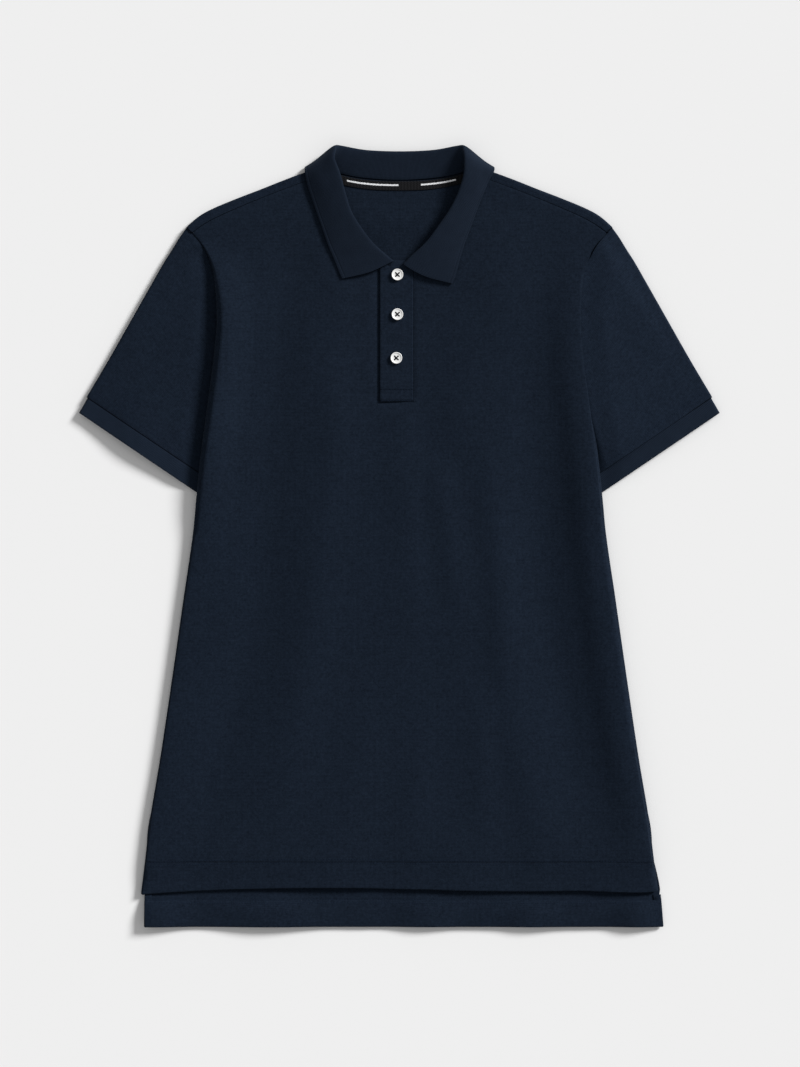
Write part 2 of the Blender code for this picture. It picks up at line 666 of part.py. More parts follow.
def make_placket_upper(finish):
    """The placket strip that carries the buttons, with a tab up to the neck between the leaves."""
    left, right, top = PLACKET_TAB
    xs = (PLACKET_RIGHT_X, -14.0, left, right, 10.0, PLACKET_LEFT_X)
    ys = (SLOT_BOTTOM_Y + SEAM_GAP, 160.0, 200.0, 240.0, PLACKET_TOP_Y, top)
    grid = []
    for y in ys:
        row = []
        for x in xs:
            kept = y <= PLACKET_TOP_Y or left <= x <= right
            row.append((x, y, upper_placket_height(x)) if kept else None)
        grid.append(row)
    return weave("placket_upper", [grid], PLACKET_WALL, finish)


def make_placket_under(finish):
    """The placket strip below, which the buttons fasten to."""
    xs = (SLOT_RIGHT_X + SEAM_GAP, -4.0, 12.0)
    ys = (SLOT_BOTTOM_Y + SEAM_GAP, 185.0, 230.0, 277.0)
    grid = [[(x, y, 3.2) for x in xs] for y in ys]
    return weave("placket_under", [grid], UNDER_PLACKET_WALL, finish)


def make_button(number, place, finish):
    """A turned button: a flat back, a rounded rim and a dished face."""
    radius = BUTTON_DIAMETER / 2
    profile = (
        (radius - 0.5, 0.0), (radius, 0.6), (radius, BUTTON_HEIGHT - 0.7),
        (radius - 0.5, BUTTON_HEIGHT), (radius - BUTTON_RIM, BUTTON_HEIGHT),
        (radius - BUTTON_RIM - 0.8, BUTTON_HEIGHT - 0.5),
    )
    mesh = bmesh.new()
    rings = []
    for reach, height in profile:
        ring = []
        for i in range(BUTTON_SIDES):
            a = 2 * math.pi * i / BUTTON_SIDES
            ring.append(mesh.verts.new((reach * math.cos(a) * MM, reach * math.sin(a) * MM, height * MM)))
        rings.append(ring)
    for low, high in zip(rings[:-1], rings[1:]):
        for i in range(BUTTON_SIDES):
            j = (i + 1) % BUTTON_SIDES
            mesh.faces.new((low[i], low[j], high[j], high[i]))
    mesh.faces.new(rings[0][::-1])
    mesh.faces.new(rings[-1])
    piece = bpy.data.objects.new(f"button_{number}", bpy.data.meshes.new(f"button_{number}"))
    mesh.to_mesh(piece.data)
    mesh.free()
    piece.data.materials.append(finish)
    seat = upper_placket_height(place[0]) + PLACKET_WALL / 2 + SEAM_GAP
    piece.location = (place[0] * MM, place[1] * MM, seat * MM)
    bpy.context.collection.objects.link(piece)
    return piece


def centre_on_origin(pieces):
    """Put the origin at the middle of the shirt's footprint, on the surface it lies on."""
    bpy.context.view_layer.update()
    graph = bpy.context.evaluated_depsgraph_get()
    corners = []
    for piece in pieces:
        shape = piece.evaluated_get(graph)
        corners += [piece.matrix_world @ vertex.co for vertex in shape.data.vertices]
    spans = [[corner[axis] for corner in corners] for axis in range(3)]
    middle = [(min(span) + max(span)) / 2 for span in spans[:2]]
    for piece in pieces:
        piece.location.x -= middle[0]
        piece.location.y -= middle[1]
        piece.location.z -= min(spans[2])


def main():
    clear_scene()
    pique = material("navy_pique", (0.012, 0.018, 0.032), 0.9)
    rib = material("navy_rib", (0.012, 0.019, 0.035), 0.88)
    woven = material("charcoal_tape", (0.02, 0.02, 0.022), 0.85)
    shell = material("white_button", (0.85, 0.85, 0.83), 0.3)
    pieces = [make_front(pique), make_back(pique)]
    for side, sign in SIDES:
        pieces.append(make_sleeve(side, sign, pique))
        pieces.append(make_cuff(side, sign, rib))
    pieces += [
        make_collar(rib),
        make_neck_tape(woven),
        make_placket_upper(pique),
        make_placket_under(pique),
    ]
    for number, place in enumerate(BUTTONS, start=1):
        pieces.append(make_button(number, place, shell))
    centre_on_origin(pieces)


main()
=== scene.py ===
import math

import bmesh
import bpy
import numpy as np
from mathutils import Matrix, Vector


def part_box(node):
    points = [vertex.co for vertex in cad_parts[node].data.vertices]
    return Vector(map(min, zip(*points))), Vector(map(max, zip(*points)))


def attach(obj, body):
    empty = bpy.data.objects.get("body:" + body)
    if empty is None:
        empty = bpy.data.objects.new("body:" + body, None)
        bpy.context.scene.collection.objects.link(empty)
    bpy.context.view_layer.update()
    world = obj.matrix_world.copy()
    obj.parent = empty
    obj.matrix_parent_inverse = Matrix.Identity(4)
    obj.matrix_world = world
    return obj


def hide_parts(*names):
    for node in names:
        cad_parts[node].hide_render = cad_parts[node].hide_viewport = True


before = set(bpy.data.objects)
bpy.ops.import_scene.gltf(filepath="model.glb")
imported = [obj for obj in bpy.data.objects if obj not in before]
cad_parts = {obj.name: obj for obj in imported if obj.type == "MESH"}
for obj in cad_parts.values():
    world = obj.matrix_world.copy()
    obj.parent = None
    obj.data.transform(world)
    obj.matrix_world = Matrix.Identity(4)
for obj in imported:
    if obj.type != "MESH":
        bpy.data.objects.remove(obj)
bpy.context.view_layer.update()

# ---- The card under the shirt, the light and the camera -------------------------------------
# The shirt lies on a matt white card.  A broad soft lamp lights it from the upper right, the
# room fills in the rest, and the camera looks straight down.
CARD_WHITE = (0.80, 0.80, 0.80)
LAMP_HEIGHT = math.radians(25)
LAMP_TURN = math.radians(36)
LAMP_SPREAD = math.radians(16)
LAMP_POWER = 4.85
ROOM_POWER = 0.42
CAMERA_PLACE = (0.0006, 0.0034, 3.0)
LENS = 64.8

bpy.ops.object.select_all(action="DESELECT")
bpy.ops.mesh.primitive_plane_add(size=12.0, location=(0, 0, -0.0003))
card = bpy.context.object
card.name = "white_card"
matt_card = bpy.data.materials.new("matt_card")
matt_card.use_nodes = True
matt_card.node_tree.nodes["Principled BSDF"].inputs["Base Color"].default_value = (*CARD_WHITE, 1)
matt_card.node_tree.nodes["Principled BSDF"].inputs["Roughness"].default_value = 0.95
card.data.materials.append(matt_card)

bpy.ops.object.light_add(type="SUN", location=(1.5, 1.0, 2.0))
lamp = bpy.context.object
lamp.name = "soft_lamp"
lamp.data.energy = LAMP_POWER
lamp.data.angle = LAMP_SPREAD
lamp.rotation_euler = (0, math.pi / 2 - LAMP_HEIGHT, LAMP_TURN)

room = bpy.data.worlds.new("pale_room")
room.use_nodes = True
room.node_tree.nodes["Background"].inputs["Color"].default_value = (1, 1, 1, 1)
room.node_tree.nodes["Background"].inputs["Strength"].default_value = ROOM_POWER
bpy.context.scene.world = room
bpy.context.scene.view_settings.view_transform = "Standard"

bpy.ops.object.camera_add(location=CAMERA_PLACE, rotation=(0, 0, 0))
camera = bpy.context.object
camera.data.sensor_fit = "VERTICAL"
camera.data.sensor_height = 24.0
camera.data.lens = LENS
bpy.context.scene.camera = camera

# ---- The front ------------------------------------------------------------------------------
# One panel of cotton pique knit, cut away for the neck and for the placket below it.  Its
# sides roll over the folded edges and tuck between the layers, and its hem is turned up inside
# and held by two rows of cover stitch.  Lengths from here on are in millimetres.
MM = 0.001
CLOTH = 1.2
SEAM_GAP = 0.3
FRONT_Z = 5.0
HEM_RADIUS = 0.75
HEM_DEPTH = 27.5
HEM_FOLD_Y = -366.65
SLOT_RIGHT_X = -17.0
SLOT_LEFT_X = 14.7
SLOT_BOTTOM_Y = 139.5
UNDER_PLACKET_Z = 3.2
UNDER_PLACKET_WALL = 1.6
NECK_LOW_Y = 281.0
FRONT_TIP_Y = 314.6
FRONT_NECK_POINT_Y = 375.6
FRONT_ARMHOLE_INSET = 1.6
FRONT_SEAM_XS = (215.0, 80.2)
FRONT_COLUMNS = 46
HEM_LEVEL = 368
SIDES = (("right", -1), ("left", 1))
ROLL = np.radians(np.linspace(-90, 90, 11))
TUCK_POINTS = 2
MIDDLE_OF_ROLL = len(ROLL) // 2
ROW_STEP = 5.0


def ease(value, start, end):
    """0 before start, 1 after end, and a smooth step between them."""
    t = np.clip((value - start) / (end - start), 0.0, 1.0)
    return t * t * (3 - 2 * t)


def mix(a, b, t):
    return a + (b - a) * t


class Table:
    """Rows of named columns, read smoothly and without overshoot along the first column."""

    def __init__(self, columns, rows):
        rows = np.array(sorted(rows), dtype=float)
        self.where = rows[:, 0]
        self.curves = {}
        for name, y in zip(columns.split()[1:], rows[:, 1:].T):
            rise = np.diff(y) / np.diff(self.where)
            slope = np.concatenate(([rise[0]], (rise[:-1] + rise[1:]) / 2, [rise[-1]]))
            least = np.minimum(abs(rise[:-1]), abs(rise[1:]))
            limit = np.where(rise[:-1] * rise[1:] <= 0, 0, 3 * least)
            slope[1:-1] = np.clip(slope[1:-1], -limit, limit)
            self.curves[name] = (y, slope)

    def at(self, where, column):
        x = self.where
        y, slope = self.curves[column]
        where = np.clip(where, x[0], x[-1])
        i = np.clip(np.searchsorted(x, where) - 1, 0, len(x) - 2)
        span = x[i + 1] - x[i]
        t = (where - x[i]) / span
        return (
            (2 * t**3 - 3 * t**2 + 1) * y[i] + (t**3 - 2 * t**2 + t) * span * slope[i]
            + (3 * t**2 - 2 * t**3) * y[i + 1] + (t**3 - t**2) * span * slope[i + 1]
        )


# Half the body's width, the height of its rolled edge and of the layer turned under it, and
# how far that layer reaches in.
SIDE = Table("y half top under tuck", [
    (321.5, 222.0, 5.2, 3.3, 1.5), (302, 205.0, 5.4, 3.5, 1.5), (290, 198.5, 5.8, 3.8, 2.0),
    (279, 194.5, 6.2, 3.9, 3.0), (248, 190.5, 7.0, 4.0, 9.0), (224, 189.8, 7.2, 4.0, 13.0),
    (189, 192.5, 7.2, 4.0, 13.0), (137, 199.2, 7.2, 4.0, 7.0), (82, 206.6, 7.0, 4.0, 5.5),
    (36, 211.4, 6.6, 4.0, 5.5), (6, 214.3, 5.4, 2.15, 7.0), (-66, 224.7, 5.2, 2.15, 8.0),
    (-149, 236.6, 5.2, 2.15, 8.0), (-232, 249.0, 5.2, 2.15, 8.0), (-295, 259.5, 5.2, 2.15, 8.0),
    (-336, 264.7, 5.2, 2.15, 7.0), (-368, 269.0, 5.2, 2.15, 6.5),
])
# How much further the soft roll of each side stands proud.
PROUD = Table("y right left", [
    (306, 0.0, 0.0), (290, 1.6, 0.2), (262, 4.8, 0.4), (205, 7.2, 0.8), (120, 7.0, 1.8),
    (62, 5.6, 2.8), (20, 3.2, 3.6), (-60, 1.2, 4.2), (-200, 0.8, 3.8), (-330, 0.8, 2.2),
    (-368, 0.2, 0.4),
])
NECK = Table("y half", [
    (376, 80.2), (360, 79.0), (346, 73.6), (330, 66.6), (314, 57.2), (298, 44.2),
    (288, 30.0), (281, 15.0),
])
SHOULDER_SEAM = Table("x y", [
    (79.5, 376.0), (98, 369.0), (130, 357.0), (164, 343.2), (193, 330.2), (204, 324.0),
    (215.5, 315.8),
])
HEM = Table("x y", [
    (-270, -373.0), (-252, -371.4), (-164, -367.2), (-65, -366.0), (0, -367.2), (130, -369.6),
    (187, -369.0), (250, -370.6), (269, -369.0),
])
FOLD_DEPTH = 1.55
LOFT = 1.7
HEM_WAVES = ((-75, 36, 1.6), (55, 40, 1.4), (212, 44, 1.8))
# The soft folds left by pressing and laying out, each from the chest to the hem.
FRONT_FOLDS = [Table("y x wide rise", rows) for rows in (
    [(300, 134, 20, 0.0), (210, 136, 24, -0.6), (146, 138, 26, -1.7), (30, 146, 28, -2.8),
     (-66, 153, 28, -2.9), (-170, 170, 27, -2.4), (-260, 186, 27, -1.8), (-345, 196, 24, -0.5)],
    [(300, 176, 16, 0.2), (200, 172, 14, 0.6), (100, 184, 15, 0.9), (-24, 196, 17, 1.4),
     (-170, 216, 18, 1.4), (-300, 238, 18, 0.8), (-350, 240, 16, 0.2)],
    [(330, -112, 20, 0.0), (276, -116, 22, -1.2), (142, -130, 26, -1.9), (0, -143, 28, -2.0),
     (-108, -152, 28, -2.0), (-232, -188, 26, -1.7), (-345, -206, 24, -0.5)],
    [(330, -70, 18, 0.0), (276, -68, 20, 0.8), (142, -66, 20, 0.9), (-24, -84, 24, 1.5),
     (-108, -92, 24, 1.6), (-232, -118, 28, 1.3), (-330, -126, 26, 0.5)],
    [(150, 2, 12, 0.0), (118, 3, 13, 1.0), (20, 8, 14, 1.3), (-70, 12, 15, 0.8),
     (-120, 12, 16, 0.2)],
    [(90, 38, 13, 0.0), (48, 42, 14, 1.1), (-24, 54, 15, 1.1), (-90, 62, 16, 0.2)],
    [(120, 78, 16, 0.0), (60, 92, 16, 0.9), (-66, 106, 16, 1.5), (-128, 108, 16, 1.4),
     (-210, 120, 18, 0.9), (-290, 142, 20, 0.9), (-350, 146, 20, 0.2)],
    [(-140, 80, 14, 0.0), (-190, 84, 15, 1.1), (-275, 86, 16, 1.0), (-345, 88, 16, 0.2)],
    [(-180, 22, 18, 0.0), (-243, 20, 18, 0.9), (-300, 16, 18, 0.8), (-345, 14, 16, 0.2)],
    [(-150, -36, 24, 0.0), (-240, -44, 24, 0.8), (-330, -48, 22, 0.2)],
    [(345, 96, 34, 0.0), (322, 98, 38, 1.0), (262, 106, 40, 1.3), (196, 112, 34, 0.3),
     (150, 112, 30, 0.0)],
    [(250, 64, 22, 0.0), (200, 62, 24, 0.8), (120, 58, 24, 0.5), (70, 50, 20, 0.0)],
)]


def ridge(x, centre, half_width):
    """A smooth ridge across x, 1 at its centre."""
    return np.exp(-(((x - centre) / half_width) ** 2))


def front_height(x, y):
    """Height of the middle of the front: rolled sides, soft folds and the waves of the hem."""
    inside = SIDE.at(y, "half") - abs(x)
    proud = np.where(x < 0, PROUD.at(y, "right"), PROUD.at(y, "left"))
    height = mix(SIDE.at(y, "top") + proud, FRONT_Z, ease(inside, 4, 45))
    for fold in FRONT_FOLDS:
        rise = FOLD_DEPTH * fold.at(y, "rise")
        height = height + rise * ridge(x, fold.at(y, "x"), fold.at(y, "wide"))
    # The cloth lies loose: lifted beside the placket, across the belly, and less at the hem.
    height = height + LOFT * ease(abs(x) - 0.35 * np.clip(y - 120, 0, 400), 26, 70) * ease(-y, -290, -210)
    height = height + LOFT * ease(-y, -112, -60) * (1 - ease(abs(x), 26, 70)) * ease(y, -366, -320)
    height = height - LOFT * ease(abs(x), 26, 70) * ease(-y, 330, 366)
    for centre, half_width, rise in HEM_WAVES:
        height = height + rise * ease(-y, 250, HEM_LEVEL) * ridge(x, centre, half_width)
    beside_slot = ease(x, SLOT_RIGHT_X - 11, SLOT_RIGHT_X - 5) * ease(-x, -2, 0)
    height = height - 1.4 * beside_slot * ease(y, SLOT_BOTTOM_Y - 6, SLOT_BOTTOM_Y)
    return height + 0.3 * ease(y, 300, 340)


def inward(before, after, toward):
    """The level unit vector square to the run from before to after, on the side of toward."""
    run = np.subtract(after, before)
    normal = np.array([-run[1], run[0]]) / np.hypot(*run)
    return normal if normal @ np.subtract(toward, before) >= 0 else -normal


def rolled_edge(point, normal, top, under):
    """Points round a folded edge from the lower layer to the upper one, from its outline."""
    radius = (top - under) / 2
    reach = CLOTH / 2 + radius * (1 - np.cos(ROLL))
    height = (top + under) / 2 + radius * np.sin(ROLL)
    return np.stack([point[0] + normal[0] * reach, point[1] + normal[1] * reach, height], axis=-1)


def front_side(sign, y):
    """The tucked layer and the roll of the front's side at a level."""
    half = [SIDE.at(y + step, "half") for step in (-1, 0, 1)]
    normal = inward((sign * half[0], y - 1), (sign * half[2], y + 1), (0, y))
    top = SIDE.at(y, "top") + PROUD.at(y, "right" if sign < 0 else "left")
    turn = rolled_edge((sign * half[1], y), normal, top, SIDE.at(y, "under"))
    tuck = [turn[0] + np.append(normal, 0) * SIDE.at(y, "tuck") * share for share in (1.0, 0.5)]
    return np.array([*tuck, *turn])


def front_upper(sign, across, up):
    """Places on the front's half above the neck's lowest point, between its four edges."""
    slot = SLOT_LEFT_X if sign > 0 else -SLOT_RIGHT_X

    def side(t):
        y = mix(NECK_LOW_Y, FRONT_TIP_Y, t)
        return np.array([sign * (SIDE.at(y, "half") - FRONT_ARMHOLE_INSET), y - SEAM_GAP * 2 * t])

    def neck(t):
        y = mix(NECK_LOW_Y, FRONT_NECK_POINT_Y, t)
        return np.array([sign * max(NECK.at(y, "half"), slot), y])

    x = mix(*FRONT_SEAM_XS, across)
    seam = np.array([sign * x, SHOULDER_SEAM.at(x, "y") - SEAM_GAP])
    base = np.array([mix(side(0)[0], neck(0)[0], across), np.full_like(across, NECK_LOW_Y)])
    corners = [c[:, None] for c in (side(0), neck(0), side(1), neck(1))]
    rails = mix(side(up)[:, None], neck(up)[:, None], across) + mix(base, seam, up)
    return rails - mix(mix(corners[0], corners[1], across), mix(corners[2], corners[3], across), up)


def hem_drop(x, y):
    """How far the hem's curve moves a place, from nothing above it to all of it at the fold."""
    return (HEM.at(x, "y") + HEM_LEVEL) * ease(-y, 300, 366)


def front_half_row(sign, y, up=None):
    """One row of the front's half, from the side seam to the slot or the neck."""
    shares = np.linspace(0, 1, FRONT_COLUMNS) ** 1.1
    level = y if up is None else mix(NECK_LOW_Y, FRONT_TIP_Y, up)
    side = front_side(sign, level)
    start = side[-1]
    if up is None:
        slot = SLOT_LEFT_X if sign > 0 else SLOT_RIGHT_X
        x, level = mix(start[0], slot, shares), mix(start[1], y, shares)
    else:
        x, level = front_upper(sign, shares, up)
        x = x + (start[0] - x[0]) * (1 - shares)
        level = level + (start[1] - level[0]) * (1 - shares)
    row = np.concatenate([side[:-1], np.stack([x, level, front_height(x, level)], axis=-1)])
    if up is None:
        row[:, 1] += hem_drop(row[:, 0], row[:, 1])
    return row


def spread(start, end, step=ROW_STEP):
    """Even places from start to end, about a step apart."""
    return np.linspace(start, end, max(2, round(abs(end - start) / step) + 1))


def knit_map(grid, start):
    """Where each point of a grid was on the cloth before it was folded, from a start column."""
    flat = grid[..., :2].copy()
    step = np.linalg.norm(np.diff(grid, axis=1), axis=2)
    columns = grid.shape[1]
    for order, way in ((range(start + 1, columns), 1), (range(start - 1, -1, -1), -1)):
        for c in order:
            run = step[:, min(c, c - way)]
            flat[:, c, 0] = np.where(np.isnan(run), grid[:, c, 0], flat[:, c - way, 0] + way * run)
    return flat


def add_piece(name, data):
    """Put a mesh in the scene as an object, active and alone selected."""
    piece = bpy.data.objects.new(name, data)
    bpy.context.collection.objects.link(piece)
    bpy.ops.object.select_all(action="DESELECT")
    bpy.context.view_layer.objects.active = piece
    piece.select_set(True)
    return piece


def lay_cloth(name, grids, wall, finish, node, maps=None, edge=0.32):
    """A cloth piece from grids of points on its middle, cut away where they are not numbers."""
    points, faces, marks = [], [], []
    for k, grid in enumerate(grids):
        kept = ~np.isnan(grid[..., 0])
        number = np.full(kept.shape, -1)
        number[kept] = np.arange(kept.sum()) + len(points)
        flat = knit_map(grid, grid.shape[1] // 2) if maps is None else maps[k]
        points.extend((grid[kept] + shift) * MM)
        marks.extend(flat[kept] * MM)
        corners = (number[:-1, :-1], number[:-1, 1:], number[1:, 1:], number[1:, :-1])
        corners = np.stack(corners, axis=-1)
        faces.extend(corners[(corners >= 0).all(axis=-1)].tolist())
    data = bpy.data.meshes.new(name)
    data.from_pydata([tuple(p) for p in points], [], faces)
    layer = data.uv_layers.new(name="knit")
    for loop in data.loops:
        layer.data[loop.index].uv = marks[loop.vertex_index]
    sheet = bmesh.new()
    sheet.from_mesh(data)
    bmesh.ops.delete(sheet, geom=[v for v in sheet.verts if not v.link_faces], context="VERTS")
    bmesh.ops.remove_doubles(sheet, verts=sheet.verts, dist=0.01 * MM)
    bmesh.ops.recalc_face_normals(sheet, faces=sheet.faces)
    sheet.to_mesh(data)
    sheet.free()
    piece = add_piece(name, data)
    thicken = piece.modifiers.new("wall", "SOLIDIFY")
    thicken.thickness = wall * MM
    thicken.offset = 0.0
    bpy.ops.object.modifier_apply(modifier="wall")
    soften = piece.modifiers.new("edge", "BEVEL")
    soften.width = edge * MM
    soften.segments = 2
    soften.limit_method = "ANGLE"
    soften.angle_limit = math.radians(62)
    bpy.ops.object.modifier_apply(modifier="edge")
    bpy.ops.object.shade_smooth()
    data.materials.append(finish)
    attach(piece, "root")
    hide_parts(node)
    return piece


class Reading:
    """A number that changes over a surface.  Sums on it add Math nodes."""

    def __init__(self, finish, socket):
        self.finish = finish
        self.socket = socket

    def maths(self, operation, *others):
        values = dict(enumerate((self, *others)))
        return self.finish.node("Math", {"operation": operation}, values)

    def within_one(self):
        return self.maths("MINIMUM", 1.0).maths("MAXIMUM", 0.0)

    def __add__(self, other):
        return self.maths("ADD", other)

    def __sub__(self, other):
        return self.maths("SUBTRACT", other)

    def __mul__(self, other):
        return self.maths("MULTIPLY", other)

    def __truediv__(self, other):
        return self.maths("DIVIDE", other)

    def __pow__(self, other):
        return self.maths("POWER", other)

    def __rsub__(self, other):
        return (self * -1.0) + other

    def __rtruediv__(self, other):
        return (self ** -1.0) * other

    __radd__ = __add__
    __rmul__ = __mul__


class Finish:
    """A material in the making, with its nodes and the shader that they feed."""

    def __init__(self, name, roughness=0.85, **steady):
        self.material = bpy.data.materials.new(name)
        self.material.use_nodes = True
        self.tree = self.material.node_tree
        self.shader = self.tree.nodes["Principled BSDF"]
        self.shader.inputs["Roughness"].default_value = roughness
        for socket, value in steady.items():
            self.shader.inputs[socket.replace("_", " ")].default_value = value

    def put(self, socket, value):
        if isinstance(value, Reading):
            self.tree.links.new(value.socket, socket)
        else:
            socket.default_value = value

    def node(self, kind, settings, values, output=0):
        """Any node, from its type, its settings and the values or readings of its sockets."""
        made = self.tree.nodes.new("ShaderNode" + kind)
        for setting, value in settings.items():
            setattr(made, setting, value)
        for socket, value in values.items():
            self.put(made.inputs[socket], value)
        return Reading(self, made.outputs[output])

    def place(self):
        """Places on the knit in metres, along the rows and up the wales."""
        where = self.node("UVMap", {"uv_map": "knit"}, {})
        return where, *(self.node("SeparateXYZ", {}, {0: where}, output) for output in (0, 1))

    def body_place(self):
        """Places in the piece's own metres."""
        return self.node("TexCoord", {}, {}, 3)

    def noise(self, where, scale, detail=2.0, roughness=0.5, distortion=0.0):
        """Smooth noise of about that many cells to the metre."""
        values = {"Vector": where, "Scale": scale, "Detail": detail, "Roughness": roughness}
        return self.node("TexNoise", {}, {**values, "Distortion": distortion})

    def blend(self, share, first, second):
        """A colour between two."""
        values = {0: share, 6: first, 7: second}
        return self.node("Mix", {"data_type": "RGBA"}, values, 2)

    def show(self, colour, height, depth, strength, roughness=None):
        """Feed the shader a colour and the relief of a surface, depth metres deep."""
        self.put(self.shader.inputs["Base Color"], colour)
        relief = self.node("Bump", {}, {"Height": height, "Distance": depth, "Strength": strength})
        self.put(self.shader.inputs["Normal"], relief)
        if roughness is not None:
            self.put(self.shader.inputs["Roughness"], roughness)
        return self.material


# What pique and rib share: a faint blue bloom of loose fibres, and hardly any shine.
BLOOM = {"Sheen_Roughness": 0.5, "Sheen_Tint": (0.62, 0.78, 1.0, 1), "Specular_IOR_Level": 0.05}


def dent(up, level, half_width):
    """1 along a line pressed into the cloth at a level, and fading to both sides of it."""
    return 1.0 / (((up - level * MM) / (half_width * MM)) ** 2.0 + 1.0)


def pique(name, dark, light, dents=()):
    """Cotton pique: staggered cells about a millimetre wide, mottled by its spun yarn."""
    finish = Finish(name, 0.92, Sheen_Weight=0.035, **BLOOM)
    where, along, up = finish.place()
    cells = ((along * 4900.0).maths("SINE") + (up * 4200.0).maths("SINE")) * 0.25 + 0.5
    yarn = finish.noise(where, 620.0, 3.0, 0.6)
    patch = finish.noise(where, 95.0)
    handle = finish.noise(where, 14.0, 1.0, 0.4)
    fleck = finish.noise(where, 290.0, 2.0, 0.6)
    shade = cells * 0.3 + yarn * 1.0 + fleck * 0.9 + patch * 0.4 + handle * 0.14 - 0.87
    relief = cells * 0.55 + yarn * 0.6 + patch * 0.3
    # Each pressed line is sunk into the relief and its colour darkened: painted shade in the groove.
    for level in dents:
        groove_with_painted_shade = dent(up, level, 0.5)
        relief = relief - groove_with_painted_shade * 2.0
        shade = shade - groove_with_painted_shade * 0.36
    colour = finish.blend(shade.within_one(), (*dark, 1), (*light, 1))
    return finish.show(colour, relief, 0.0003, 0.55, yarn * 0.1 + 0.84)


NAVY_DARK = (0.0022, 0.0044, 0.0090)
NAVY_LIGHT = (0.0096, 0.0162, 0.0292)
HEM_ROWS = (HEM_DEPTH - 1.6, HEM_DEPTH + 2.2)
# The groove above the hem's stitches, sunk into the front's pique and darkened: painted shade along it.
HEM_GROOVE = HEM_DEPTH + 0.3

# The shirt is drawn about its own origin, then moved to where the model's under placket has it.
drawn_corner = (
    SLOT_RIGHT_X + SEAM_GAP, SLOT_BOTTOM_Y + SEAM_GAP, UNDER_PLACKET_Z - UNDER_PLACKET_WALL / 2,
)
shift = np.array(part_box("placket_under")[0]) / MM - drawn_corner

levels = np.concatenate([
    spread(HEM_FOLD_Y, SLOT_BOTTOM_Y - 6), [SLOT_BOTTOM_Y - 3, SLOT_BOTTOM_Y],
    spread(SLOT_BOTTOM_Y, NECK_LOW_Y)[1:],
])
slot_middle = (SLOT_RIGHT_X + SLOT_LEFT_X) / 2
cut = np.full(3, np.nan)
panel = []
for y in levels:
    centre = cut
    if y <= SLOT_BOTTOM_Y:
        centre = (slot_middle, y + hem_drop(slot_middle, y), front_height(slot_middle, y))
    panel.append([*front_half_row(-1, y), centre, *front_half_row(1, y)[::-1]])
for up in np.linspace(0, 1, 21)[1:]:
    panel.append([*front_half_row(-1, None, up), cut, *front_half_row(1, None, up)[::-1]])
panel = np.array(panel, dtype=float)
# The hem turns under from the middle of one side's roll to the middle of the other's, and its
# own roll closes down to nothing there.
hem = []
outermost = TUCK_POINTS + MIDDLE_OF_ROLL
closing = np.sin(ROLL[MIDDLE_OF_ROLL:])
open_run = np.ones(len(panel[0]) - 2 * (outermost + len(closing)))
roundness = np.concatenate([closing, open_run, closing[::-1]])
for (x, y, z), full in zip(panel[0][outermost:-outermost], roundness):
    turn = rolled_edge((x, y - CLOTH / 2 - HEM_RADIUS * full), (0, 1), z, z - 2 * HEM_RADIUS * full)
    turn[:, 1] += (y - turn[:, 1]) * (1 - full)
    inside = [cut, cut]
    if full == 1:
        inside = [(x * SIDE.at(y + reach, "half") / SIDE.at(y, "half"), y + reach, turn[0][2])
                  for reach in (HEM_DEPTH - 1, HEM_DEPTH / 2)]
    hem.append(inside + list(turn))
hem = np.array(hem)

front_pique = pique("navy_pique_front", NAVY_DARK, NAVY_LIGHT, [HEM_FOLD_Y + HEM_GROOVE])
front = lay_cloth("front_cloth", [panel, hem], CLOTH, front_pique, "front")

# ---- The back -------------------------------------------------------------------------------
# The same knit, a little longer than the front.  Its shoulders wrap to a seam on the front, its
# neck edge is taped and its hem is turned up.  The edges of its side vents are rolled in, with a
# short end of their narrow strip showing above the hem.
BACK_Z = CLOTH / 2
BACK_OVER_COLLAR = 2.2
BACK_HEM_FOLD_Y = -405.25
VENT_STRIP_TOP_Y = -373.0
VENT_STRIP = 8.0
VENT_FLAP = 6.5
BACK_EVEN_Y = -326
BACK_YOKE_Y = 278
BACK_TIP_XS = (219.0, 215.3)
NECK_HALF = 79.5
BACK_NECK_Y = 369.5
BACK_NECK_RISE = 12.6
BACK_NECK_POWER = 2.6
SHOULDER_TIP_Y = 321.0
BACK_WAVES = (
    (-136, 50, 5.6), (-256, 30, 6.0), (-40, 24, 1.2), (28, 32, 4.2), (84, 24, 1.4),
    (139, 34, 4.8), (196, 24, 1.6), (247, 24, 5.2),
)
BACK_SIDE = Table("y right left", [(-330, 263.0, 263.0), (-363, 265.0, 270.6), (-406, 265.4, 274.8)])
SHOULDER_FOLD = Table("x y", [
    (79.5, 384.5), (98, 378.3), (118, 371.0), (144, 360.8), (171, 350.4),
    (196, 339.8), (206, 334.4), (213, 329.2), (218.5, 324.2), (222, 321.0),
])
# Where the columns stand: shares of the way in from the side, and places along the shoulder
# and the neck.
BACK_SHARES = (0.0, 0.034, 0.14, 0.28, 0.42, 0.56, 0.7, 0.85, 1.0)
BACK_CREST = (221.6, 209.0, 186.0, 152.0, 112.0, NECK_HALF, 55.0, 28.0, 0.0)


def seam_reach(y):
    """How far the side or armhole seam lies inside the body's outline."""
    return CLOTH / 2 + (SIDE.at(y, "top") - SIDE.at(y, "under")) / 2 + SIDE.at(y, "tuck")


def armhole(y):
    return SIDE.at(y, "half") - seam_reach(y)


def back_height(x, y):
    """Height of the middle of the back: flat, but for the collar under it and the hem's waves."""
    height = BACK_Z + BACK_OVER_COLLAR * ease(y, 296, 334) * ease(-abs(x), -152, -108)
    for centre, half_width, rise in BACK_WAVES:
        height = height + rise * ease(-y, 362, 394) ** 1.2 * ridge(x, centre, half_width)
    return height


